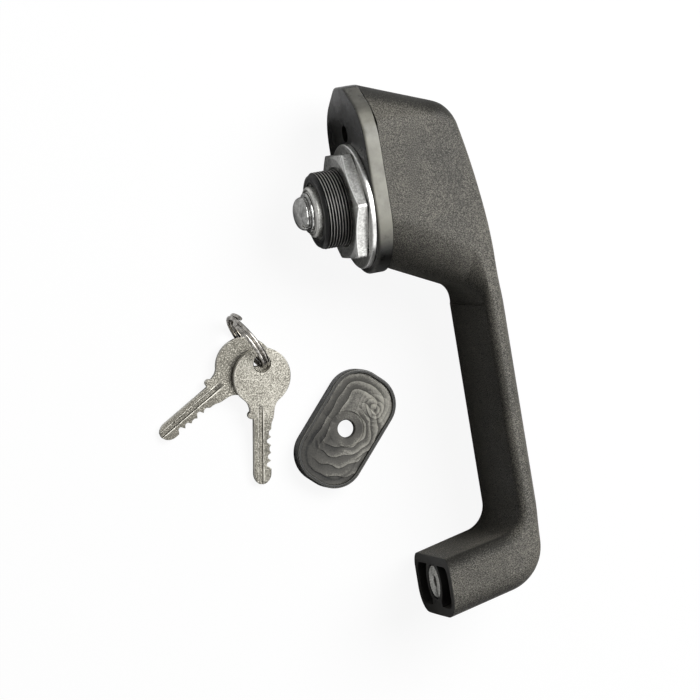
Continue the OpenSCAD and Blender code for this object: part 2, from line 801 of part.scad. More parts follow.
handle_body();
head_pad();
foot_insert();
lock_housing();
locating_pin();
bezel_ring();
clamp_washer();
clamp_nut();
shank_end_cap();
end_cap_circlip();
push_button();
button_seal();
lock_plug();
wafer_tumblers();
plug_clip();
drive_cam();
plunger_rod();
plunger_tip();
return_spring();
foot_pad();
key_ring();
key_1();
key_2();
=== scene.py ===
"""Looks of a cab door handle: moulded grip, push-button lock, clamp set, foot pad and keys.

Sizes are in millimetres and become metres where a mesh is made. X points out from the door,
Y up along the grip and Z up off the table that the set lies on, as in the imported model.
"""

from __future__ import annotations

import logging
from dataclasses import dataclass
from enum import Enum
from typing import Callable, Sequence

import bmesh
import bpy
import numpy as np
from mathutils import Matrix

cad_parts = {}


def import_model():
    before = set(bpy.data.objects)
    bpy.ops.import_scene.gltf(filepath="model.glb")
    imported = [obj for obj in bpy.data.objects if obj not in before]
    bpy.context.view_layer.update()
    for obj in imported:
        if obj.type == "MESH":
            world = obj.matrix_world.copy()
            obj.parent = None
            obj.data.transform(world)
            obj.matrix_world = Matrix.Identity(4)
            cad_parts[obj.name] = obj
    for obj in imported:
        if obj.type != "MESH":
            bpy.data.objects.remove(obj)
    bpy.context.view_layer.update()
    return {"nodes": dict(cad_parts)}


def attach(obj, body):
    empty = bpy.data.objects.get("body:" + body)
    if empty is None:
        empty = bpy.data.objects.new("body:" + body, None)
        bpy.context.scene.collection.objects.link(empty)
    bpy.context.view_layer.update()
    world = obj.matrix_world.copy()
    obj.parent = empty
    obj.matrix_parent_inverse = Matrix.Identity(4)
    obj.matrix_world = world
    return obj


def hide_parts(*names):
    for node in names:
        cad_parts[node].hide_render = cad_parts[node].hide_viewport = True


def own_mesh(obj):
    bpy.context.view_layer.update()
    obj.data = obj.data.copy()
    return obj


LOG = logging.getLogger("door_handle")
MM = 0.001
MERGE_M = 1e-7
SLIVER_M = 1e-8

Array = np.ndarray
Span = tuple[float, float]
Triple = tuple[float, float, float]
Material = bpy.types.Material
Node = bpy.types.Node
Piece = bpy.types.Object
Socket = bpy.types.NodeSocket
Tree = bpy.types.NodeTree
Keys = Sequence[Span]
Leg = tuple[float, float, Callable[[Array], Array]]


class Ends(Enum):
    """How the first and last rows of a grid are closed."""

    JOINED = "joined"
    CAPPED = "capped"


# Shape helpers


def polar(radius: float, degrees: float | Array) -> Array:
    """Gives the point at a radius and an angle: (r cos a, r sin a)."""
    turn = np.radians(degrees)
    return radius * np.stack([np.cos(turn), np.sin(turn)], axis=-1)


def straight(start: Sequence[float], end: Sequence[float]) -> Callable[[Array], Array]:
    """Gives a straight leg: start + (end - start) u for u from 0 to 1."""
    first, last = np.asarray(start, float), np.asarray(end, float)
    return lambda u: first + (last - first) * u[:, None]


def bend(centre: Sequence[float], radius: float, start: float, end: float) -> Callable[[Array], Array]:
    """Gives a round leg: centre + r (cos a, sin a), with a from start to end degrees."""
    middle = np.asarray(centre, float)
    return lambda u: middle + polar(radius, start + (end - start) * u)


def sweep(
    start: Sequence[float], handle: Sequence[float], end: Sequence[float], first: float, last: float
) -> Callable[[Array], Array]:
    """Gives part of a parabola: (1-u)^2 start + 2 u (1-u) handle + u^2 end, for u from first to last.

    Args:
        start: first point of the whole parabola.
        handle: point where the lines along its two ends meet.
        end: last point of the whole parabola.
        first: u at the start of the part.
        last: u at the end of the part.

    Returns:
        The leg, as a function of the share of the part.
    """
    a, b, c = (np.asarray(point, float) for point in (start, handle, end))

    def leg(q: Array) -> Array:
        """Gives the parabola at shares of its part."""
        u = (first + (last - first) * q)[:, None]
        return (1 - u) ** 2 * a + 2 * u * (1 - u) * b + u**2 * c

    return leg


def trail(stage: Array, legs: Sequence[Leg]) -> Array:
    """Follows a guide made of legs.

    Args:
        stage: place along the guide for each section.
        legs: first stage, last stage and curve of each leg.

    Returns:
        One point of the guide for each stage.
    """
    points = np.zeros((len(stage), 2))
    for first, last, curve in legs:
        held = (stage >= first) & (stage <= last)
        points[held] = curve((stage[held] - first) / (last - first))
    return points


def soften(corners: Sequence[Sequence[float]], radius: float | Sequence[float], steps: int = 5) -> Array:
    """Rounds every corner of a closed outline.

    Each corner P becomes the parabola (1-t)^2 A + 2 t (1-t) P + t^2 B, where A and B lie on
    the two edges of P, a radius away from it and never past their middles.

    Args:
        corners: corners of the outline in order.
        radius: distance from each corner at which the rounding starts.
        steps: points on each rounding.

    Returns:
        The points of the rounded outline in order.
    """
    point = np.asarray(corners, float)
    reach = np.broadcast_to(np.asarray(radius, float), (len(point),))
    t = np.linspace(0, 1, steps)[None, :, None]

    def toward(other: Array) -> Array:
        """Gives the start of each rounding.

        Args:
            other: the corner next to each corner.

        Returns:
            The points a radius along the edges to those corners.
        """
        edge = other - point
        length = np.maximum(np.linalg.norm(edge, axis=1), 1e-9)
        return point + edge * (np.minimum(reach, 0.49 * length) / length)[:, None]

    start = toward(np.roll(point, 1, axis=0))[:, None]
    end = toward(np.roll(point, -1, axis=0))[:, None]
    curve = (1 - t) ** 2 * start + 2 * t * (1 - t) * point[:, None] + t**2 * end
    return curve.reshape(-1, 2)


def evenly(outline: Array, count: int) -> Array:
    """Spaces points evenly along a closed outline, from its first point.

    Args:
        outline: points of the outline in order.
        count: number of points wanted.

    Returns:
        The new points in order.
    """
    ring = np.vstack([outline, outline[:1]])
    run = np.concatenate([[0], np.cumsum(np.linalg.norm(np.diff(ring, axis=0), axis=1))])
    want = np.linspace(0, run[-1], count, endpoint=False)
    return np.stack([np.interp(want, run, ring[:, k]) for k in (0, 1)], axis=-1)


def lathe(profile: Array, centre: Span = (0.0, 0.0), around: int = 96) -> Array:
    """Turns a profile about an axis along X: (x, r) goes to (x, y0 + r cos a, z0 + r sin a).

    Args:
        profile: distance along the axis and radius of each row.
        centre: Y and Z of the axis.
        around: points round the axis.

    Returns:
        A grid of points, one row for each point of the profile.
    """
    turn = np.linspace(0, 2 * np.pi, around, endpoint=False)
    along = np.broadcast_to(profile[:, :1], (len(profile), around))
    up = centre[0] + profile[:, 1:] * np.cos(turn)
    out = centre[1] + profile[:, 1:] * np.sin(turn)
    return np.stack([along, up, out], axis=-1)


def grid_faces(rows: int, columns: int, ends: Ends) -> list[list[int]]:
    """Joins a grid, whose columns always close, into quads, and fans where its ends are capped.

    Args:
        rows: rows of the grid.
        columns: points in each row.
        ends: how the first and last rows close.

    Returns:
        The faces, as numbers of points. A capped grid's two middles come after all its rows.
    """
    last = rows if ends is Ends.JOINED else rows - 1
    i, j = np.meshgrid(np.arange(last), np.arange(columns), indexing="ij")
    after, beside = (i + 1) % rows, (j + 1) % columns
    quads = np.stack(
        [i * columns + j, i * columns + beside, after * columns + beside, after * columns + j], axis=-1
    )
    faces = quads.reshape(-1, 4).tolist()
    if ends is Ends.CAPPED:
        ring = np.arange(columns)
        nearby = (ring + 1) % columns
        middle = rows * columns
        far = middle - columns
        faces += np.stack([np.full(columns, middle), nearby, ring], axis=-1).tolist()
        faces += np.stack([np.full(columns, middle + 1), far + ring, far + nearby], axis=-1).tolist()
    return faces


def mesh_object(
    name: str, grid: Array, ends: Ends, crisp: float = 32.0, marks: dict[str, Array] | None = None
) -> Piece:
    """Makes a closed mesh object of a grid of points.

    Args:
        name: name of the object.
        grid: points in millimetres, as rows, columns and X, Y, Z.
        ends: how the first and last rows close.
        crisp: angle in degrees from which an edge looks sharp.
        marks: numbers that a finish reads, one for each point, by the attribute's name.

    Returns:
        The object, at the origin, with its faces outwards.
    """
    rows, columns = grid.shape[:2]
    points = grid.reshape(-1, 3)
    if ends is Ends.CAPPED:
        points = np.vstack([points, grid[0].mean(axis=0), grid[-1].mean(axis=0)])
    mesh = bpy.data.meshes.new(name)
    mesh.from_pydata((points * MM).tolist(), [], grid_faces(rows, columns, ends))
    for mark, values in (marks or {}).items():
        filled = np.zeros(len(points), np.float32)
        filled[: rows * columns] = values.reshape(-1)
        mesh.attributes.new(mark, "FLOAT", "POINT").data.foreach_set("value", filled)
    tidy_mesh(mesh, crisp)
    piece = bpy.data.objects.new(name, mesh)
    bpy.context.scene.collection.objects.link(piece)
    return piece


def tidy_mesh(mesh: bpy.types.Mesh, crisp: float) -> None:
    """Merges doubled points, turns the faces outwards and sets smooth shading with sharp edges.

    Args:
        mesh: mesh to tidy.
        crisp: angle in degrees from which an edge looks sharp.
    """
    form = bmesh.new()
    form.from_mesh(mesh)
    bmesh.ops.remove_doubles(form, verts=form.verts, dist=MERGE_M)
    bmesh.ops.dissolve_degenerate(form, edges=form.edges, dist=SLIVER_M)
    bmesh.ops.recalc_face_normals(form, faces=form.faces)
    form.to_mesh(mesh)
    form.free()
    mesh.shade_smooth()
    mesh.set_sharp_from_angle(angle=np.radians(crisp))


def cut_away(piece: Piece, cutters: Sequence[Piece], crisp: float = 32.0) -> None:
    """Takes each cutter's volume out of a piece and removes the cutters.

    Args:
        piece: piece to cut.
        cutters: solids to take away.
        crisp: angle in degrees from which an edge of the result looks sharp.
    """
    for cutter in cutters:
        hollow = piece.modifiers.new(cutter.name, "BOOLEAN")
        hollow.operation = "DIFFERENCE"
        hollow.solver = "EXACT"
        hollow.object = cutter
    shape = bpy.context.evaluated_depsgraph_get()
    shape.update()
    cut = bpy.data.meshes.new_from_object(piece.evaluated_get(shape))
    piece.modifiers.clear()
    old = piece.data
    piece.data = cut
    bpy.data.meshes.remove(old)
    for cutter in cutters:
        bpy.data.objects.remove(cutter)
    tidy_mesh(cut, crisp)


def round_cutter(name: str, x0: float, x1: float, radius: float, centre: Span = (0.0, 0.0)) -> Piece:
    """Makes a round bar along X that cuts a bore."""
    profile = np.array([[x0, radius], [x1, radius]])
    return mesh_object(name, lathe(profile, centre), Ends.CAPPED)


def paint(piece: Piece, mark: str, rule: Callable[[Array], Array]) -> None:
    """Gives every point of a piece a number that a finish reads.

    Args:
        piece: piece to paint.
        mark: name of the attribute.
        rule: gives the numbers for an array of places in millimetres.
    """
    mesh = piece.data
    places = np.zeros(len(mesh.vertices) * 3)
    mesh.vertices.foreach_get("co", places)
    values = rule(places.reshape(-1, 3) / MM).astype(np.float32)
    mesh.attributes.new(mark, "FLOAT", "POINT").data.foreach_set("value", values)


def tangent(degrees: float) -> float:
    """Gives the tangent of an angle in degrees."""
    return float(np.tan(np.radians(degrees)))


def step(value: Array, width: float) -> Array:
    """Gives a soft step from 0 to 1: 1/2 + tanh(value / width) / 2."""
    return 0.5 + 0.5 * np.tanh(value / width)


def ridge(value: Array, width: float) -> Array:
    """Gives a soft line, exp(-(value / width)^2), that is 1 where the value is 0."""
    return np.exp(-((value / width) ** 2))


# Finishes


def linear(code: str) -> tuple[float, float, float, float]:
    """Turns an sRGB hex value into linear light.

    Args:
        code: the value, such as #808080.

    Returns:
        Red, green, blue and an alpha of 1.
    """
    value = np.array([int(code[k : k + 2], 16) for k in (1, 3, 5)]) / 255
    light = np.where(value <= 0.04045, value / 12.92, ((value + 0.055) / 1.055) ** 2.4)
    return (*light.tolist(), 1.0)


def feed(tree: Tree, node: Node, links: dict) -> None:
    """Feeds a node's inputs.

    Args:
        tree: node tree that holds the node.
        node: node to feed.
        links: for each input, the socket or the constant that feeds it.
    """
    for name, source in links.items():
        if isinstance(source, Socket):
            tree.links.new(source, node.inputs[name])
        else:
            node.inputs[name].default_value = source


def add_node(tree: Tree, kind: str, links: dict | None = None, **settings: object) -> Node:
    """Adds one node.

    Args:
        tree: node tree that takes it.
        kind: type of the node.
        links: for each input, the socket or the constant that feeds it.
        settings: the node's own settings.

    Returns:
        The node.
    """
    node = tree.nodes.new(kind)
    for name, value in settings.items():
        setattr(node, name, value)
    feed(tree, node, links or {})
    return node


def combine(tree: Tree, operation: str, *values: object) -> Socket:
    """Works out one number from sockets and constants, by the name of a Math node's operation."""
    return add_node(tree, "ShaderNodeMath", dict(enumerate(values)), operation=operation).outputs[0]


def spread(tree: Tree, value: Socket, source: Span, target: Span) -> Socket:
    """Carries a value from one span to another, and never past its ends."""
    links = {"Value": value, 1: source[0], 2: source[1], 3: target[0], 4: target[1]}
    return add_node(tree, "ShaderNodeMapRange", links).outputs["Result"]


def read_mark(tree: Tree, mark: str) -> Socket:
    """Reads a number that was painted on the mesh, 0 where there is none."""
    return add_node(tree, "ShaderNodeAttribute", attribute_name=mark).outputs["Fac"]


def noise(tree: Tree, place: Socket, size_mm: float, detail: float, roughness: float = 0.5) -> Socket:
    """Adds a noise of a real size.

    Args:
        tree: node tree that takes it.
        place: socket of the place on the piece, in metres.
        size_mm: size of its lumps.
        detail: number of finer layers.
        roughness: share of each finer layer.

    Returns:
        The socket of its value, which lies about 1/2.
    """
    links = {"Vector": place, "Scale": 1 / (size_mm * MM), "Detail": detail, "Roughness": roughness}
    return add_node(tree, "ShaderNodeTexNoise", links).outputs["Fac"]


def ray_kinds(tree: Tree) -> tuple[Socket, Socket]:
    """Tells the rays of the eye and of reflections from those that carry light.

    Args:
        tree: node tree that takes the nodes.

    Returns:
        A socket that is 1 for the camera's own rays, and one that is 1 for rays by way of a shiny
        or clear piece.
    """
    path = add_node(tree, "ShaderNodeLightPath").outputs
    shiny = combine(tree, "MAXIMUM", path["Is Glossy Ray"], path["Is Transmission Ray"])
    return path["Is Camera Ray"], shiny


def start_material(name: str) -> tuple[Material, Tree, Node]:
    """Starts a material.

    Args:
        name: name of the material.

    Returns:
        The material, its node tree and its main shader.
    """
    material = bpy.data.materials.new(name)
    material.use_nodes = True
    return material, material.node_tree, material.node_tree.nodes["Principled BSDF"]


def ramp(tree: Tree, value: Socket, places: Sequence[float], shades: Sequence[str]) -> Socket:
    """Adds a colour ramp.

    Args:
        tree: node tree that takes it.
        value: socket that chooses the colour.
        places: value at which each shade is reached.
        shades: sRGB hex value of each shade.

    Returns:
        The socket of the colour.
    """
    node = add_node(tree, "ShaderNodeValToRGB", {"Fac": value})
    elements = node.color_ramp.elements
    while len(elements) < len(shades):
        elements.new(1.0)
    for element, place, code in zip(elements, places, shades):
        element.position = place
        element.color = linear(code)
    return node.outputs["Color"]


@dataclass(frozen=True)
class Finish:
    """A surface with grain: three shades of speck, a slow cloud, painted highlights, painted shade and a
    relief.

    Painted highlight and painted shade are attributes of those names on a mesh, from 0 to 1, and are 0
    where a mesh has none. The painted highlight shows the pale sheen colour, and the painted shade pulls
    the specks to the darkest shade. Patches are a span of the cloud and the shares of the painted
    highlight that its ends let through. Over the gloss span of the cloud the roughness goes from its
    first value to its last.
    """

    name: str
    shades: tuple[str, str, str]
    grain_mm: float
    roughness: Span
    relief_mm: float = 0.02
    cloud_mm: float = 20.0
    cloud_share: float = 0.25
    stops: Triple = (0.46, 0.62, 0.78)
    painted_sheen: str = "#8a8882"
    sheen_roughness: float = 0.3
    metallic: float = 0.0
    specular: float = 0.5
    grain_detail: float = 2.0
    cloud_detail: float = 5.0
    noise_roughness: float = 0.6
    shade_pull: float = 0.4
    patches: tuple[Span, Span] = ((0.3, 0.6), (0.6, 1.0))
    gloss_span: Span = (0.35, 0.65)
    bump_strength: float = 0.5

    def make(self) -> Material:
        """Builds the material: speckled colour with painted highlights and painted shade, gloss that wanders
        with the cloud, and a fine bump.

        Returns:
            The material, which has the name of what the piece is made of.
        """
        material, tree, shader = start_material(self.name)
        place = add_node(tree, "ShaderNodeTexCoord").outputs["Object"]
        grain = noise(tree, place, self.grain_mm, self.grain_detail, self.noise_roughness)
        cloud = noise(tree, place, self.cloud_mm, self.cloud_detail, self.noise_roughness)
        # Specks of three shades, which drift with the cloud and go dark under the painted shade
        speck = combine(tree, "MULTIPLY_ADD", cloud, self.cloud_share, grain)
        shaded = combine(tree, "MULTIPLY_ADD", read_mark(tree, "painted_shade"), -self.shade_pull, speck)
        colour = ramp(tree, shaded, self.stops, self.shades)
        # Painted highlights, broken into patches by the cloud
        painted_highlight = combine(tree, "MULTIPLY", read_mark(tree, "painted_highlight"), spread(tree, cloud, *self.patches))
        # Sockets 6 and 7 are a Mix node's two colours, 2 and 3 its two numbers
        shades = {0: painted_highlight, 6: colour, 7: linear(self.painted_sheen)}
        tone = add_node(tree, "ShaderNodeMix", shades, data_type="RGBA")
        # Gloss that comes and goes with the cloud, as on a surface that was handled
        gloss = spread(tree, cloud, self.gloss_span, self.roughness)
        roughness_mix = add_node(tree, "ShaderNodeMix", {0: painted_highlight, 2: gloss, 3: self.sheen_roughness})
        # A fine tooth that breaks up the highlights
        tooth = {"Height": grain, "Strength": self.bump_strength, "Distance": self.relief_mm * MM}
        links = {
            "Base Color": tone.outputs[2],
            "Roughness": roughness_mix.outputs[0],
            "Normal": add_node(tree, "ShaderNodeBump", tooth).outputs["Normal"],
            "Metallic": self.metallic,
            "Specular IOR Level": self.specular,
        }
        feed(tree, shader, links)
        return material


@dataclass(frozen=True)
class MilledFloor:
    """Nylon tray floor, copied from a hand-milled mould: tool terraces and arcs, with painted light on them.

    The tone is painted light: the attribute that the tray paints on its mesh, from 0, painted shade, to 1,
    painted highlight.
    """

    name: str
    shades: tuple[str, str, str] = ("#151514", "#5b5953", "#cfccc0")
    grain_mm: float = 0.4
    roughness: Span = (0.6, 0.45)
    specular: float = 0.25
    stops: Triple = (0.0, 0.5, 1.0)
    grain_detail: float = 3.0
    grain_share: float = 0.5
    relief_mm: float = 0.03
    bump_strength: float = 0.3

    def make(self) -> Material:
        """Builds a colour and a gloss that follow the tone, which is painted light, with a fine grain over
        both.

        Returns:
            The material, which has the name of what the floor is made of.
        """
        material, tree, shader = start_material(self.name)
        place = add_node(tree, "ShaderNodeTexCoord").outputs["Object"]
        tone = read_mark(tree, "tone")
        grain = noise(tree, place, self.grain_mm, self.grain_detail)
        # Painted shade in the valleys and painted highlights on the crests, with a speck that lightens and
        # darkens both alike
        speck = combine(tree, "MULTIPLY_ADD", grain, self.grain_share, tone)
        level = combine(tree, "SUBTRACT", speck, self.grain_share / 2)
        tooth = {"Height": grain, "Strength": self.bump_strength, "Distance": self.relief_mm * MM}
        links = {
            "Base Color": ramp(tree, level, self.stops, self.shades),
            "Roughness": spread(tree, tone, (0.0, 1.0), self.roughness),
            "Normal": add_node(tree, "ShaderNodeBump", tooth).outputs["Normal"],
            "Specular IOR Level": self.specular,
        }
        feed(tree, shader, links)
        return material


@dataclass(frozen=True)
class StudioFloor:
    """White table: white to the eye and in reflections, dull to the light it would throw back.

    Glow and lit are what the eye sees, mirrored is what reflections see and bounce is what lights
    the set from below.
    """

    name: str
    glow: float = 0.92
    lit: str = "#5c5c5c"
    mirrored: str = "#f4f4f4"
    bounce: str = "#282828"

    def make(self) -> Material:
        """Builds a white that keeps the object's shadow, and a grey for diffuse bounces.

        Returns:
            The material of the table.
        """
        material, tree, shader = start_material(self.name)
        tree.nodes.remove(shader)
        camera, shiny = ray_kinds(tree)
        bounce, mirrored, lit = (
            add_node(tree, "ShaderNodeBsdfDiffuse", {"Color": linear(code)}).outputs[0]
            for code in (self.bounce, self.mirrored, self.lit)
        )
        glow = add_node(tree, "ShaderNodeEmission", {"Strength": self.glow}).outputs[0]
        white = add_node(tree, "ShaderNodeAddShader", {0: lit, 1: glow}).outputs[0]
        unseen = add_node(tree, "ShaderNodeMixShader", {0: shiny, 1: bounce, 2: mirrored}).outputs[0]
        both = add_node(tree, "ShaderNodeMixShader", {0: camera, 1: unseen, 2: white}).outputs[0]
        feed(tree, tree.nodes["Material Output"], {"Surface": both})
        return material


class Palette:
    """The finishes of the set, each built once, by the slot they fill."""

    def __init__(self) -> None:
        """Builds every material."""
        finishes: dict[str, Finish | MilledFloor] = {
            # Glass-filled nylon from a spark-eroded mould: matt charcoal with a fine pale grain
            "grained_plastic": Finish(
                "moulded_glass_filled_nylon",
                ("#2f2e2b", "#5d5b55", "#99958b"),
                grain_mm=0.28,
                roughness=(0.5, 0.6),
                relief_mm=0.05,
                painted_sheen="#6c6a64",
                sheen_roughness=0.45,
                specular=0.2,
            ),
            # Nylon from a polished mould: black and glossy, with smears where it was handled, and a pale
            # painted reflection and painted highlights on rims
            "black_plastic": Finish(
                "polished_black_nylon",
                ("#131312", "#191917", "#23221f"),
                grain_mm=0.6,
                roughness=(0.22, 0.42),
                cloud_mm=6.0,
                cloud_share=0.8,
                stops=(0.8, 0.95, 1.1),
                painted_sheen="#a9a79c",
                specular=0.28,
            ),
            # Nylon from a hand-milled mould: painted shade in the valleys and painted highlights on the
            # crests along the cutter's path
            "tray_floor": MilledFloor("milled_nylon_painted_light"),
            # Black oxide on steel: near black, with a painted highlight on the crests of the thread
            "black_steel": Finish(
                "black_oxide_steel",
                ("#0a0a0a", "#111111", "#1d1d1c"),
                grain_mm=0.7,
                roughness=(0.3, 0.45),
                painted_sheen="#d2d0ca",
                sheen_roughness=0.25,
                specular=0.3,
            ),
            # Zinc plate: cool grey metal, spangled, with painted highlights along its edges
            "zinc_steel": Finish(
                "bright_zinc_plated_steel",
                ("#a09f9d", "#b7b7b4", "#cfcfcc"),
                grain_mm=0.7,
                roughness=(0.24, 0.36),
                relief_mm=0.012,
                cloud_mm=5.0,
                painted_sheen="#f2f2ef",
                metallic=1.0,
            ),
            # Free-cutting steel off the lathe: dull grey with a turned sheen, and painted highlights on the
            # end cap's bevel and groove lip
            "grey_steel": Finish(
                "turned_free_cutting_steel",
                ("#84847f", "#a3a39f", "#c2c1bc"),
                grain_mm=0.5,
                roughness=(0.3, 0.45),
                cloud_mm=4.0,
                painted_sheen="#e6e5e1",
                metallic=1.0,
            ),
            # Chromium plate: mirror bright with hardly any grain
            "chrome": Finish(
                "chromium_plated_steel",
                ("#8c8c8a", "#a2a2a0", "#b8b8b6"),
                grain_mm=1.6,
                roughness=(0.05, 0.1),
                relief_mm=0.006,
                metallic=1.0,
            ),
            # Acetal from a fine-blasted mould: satin black
            "button_plastic": Finish(
                "black_acetal", ("#1a1a1a", "#202020", "#292929"), grain_mm=0.4, roughness=(0.34, 0.46)
            ),
            # Nitrile rubber: dull black
            "seal_rubber": Finish(
                "nitrile_rubber", ("#111111", "#161616", "#1e1e1e"), grain_mm=0.3, roughness=(0.6, 0.75)
            ),
            # Nickel over brass: warm pale metal
            "lock_brass": Finish(
                "nickel_plated_brass",
                ("#8d8467", "#ada384", "#c6bd9f"),
                grain_mm=0.6,
                roughness=(0.22, 0.36),
                painted_sheen="#e6dfc6",
                metallic=1.0,
            ),
            # Drawn spring wire: dark grey metal
            "spring_steel": Finish(
                "drawn_spring_wire",
                ("#4d4e50", "#66676a", "#838487"),
                grain_mm=0.5,
                roughness=(0.26, 0.4),
                metallic=1.0,
            ),
            # Nickel silver blanked and tumbled with grit: pale warm grey with a sparkle of fine dents, and
            # painted highlights along edges and groove lips
            "key_nickel": Finish(
                "tumbled_nickel_silver",
                ("#4d4b45", "#827f76", "#b9b6ac"),
                grain_mm=0.3,
                roughness=(0.34, 0.48),
                relief_mm=0.06,
                cloud_mm=9.0,
                stops=(0.5, 0.62, 0.74),
                painted_sheen="#e9e6dc",
                metallic=1.0,
            ),
            # Nickel-plated spring wire: bright, with a brown cast
            "ring_steel": Finish(
                "nickel_plated_wire",
                ("#7d7a75", "#a9a59f", "#cfccc6"),
                grain_mm=1.2,
                roughness=(0.14, 0.26),
                metallic=1.0,
            ),
        }
        self.materials = {slot: finish.make() for slot, finish in finishes.items()}

    def __getitem__(self, slot: str) -> Material:
        """Gives the material of a slot."""
        return self.materials[slot]


def fit_out(piece: Piece, body: str, node: str, slot: str, palette: Palette) -> None:
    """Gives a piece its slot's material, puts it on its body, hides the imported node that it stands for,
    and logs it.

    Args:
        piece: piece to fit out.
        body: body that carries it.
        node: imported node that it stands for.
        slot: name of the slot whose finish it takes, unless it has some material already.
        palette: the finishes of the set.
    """
    if not piece.data.materials:
        piece.data.materials.append(palette[slot])
    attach(piece, body)
    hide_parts(node)
    LOG.info("%s: %d faces on %s", piece.name, len(piece.data.polygons), body)


# Sub-assemblies


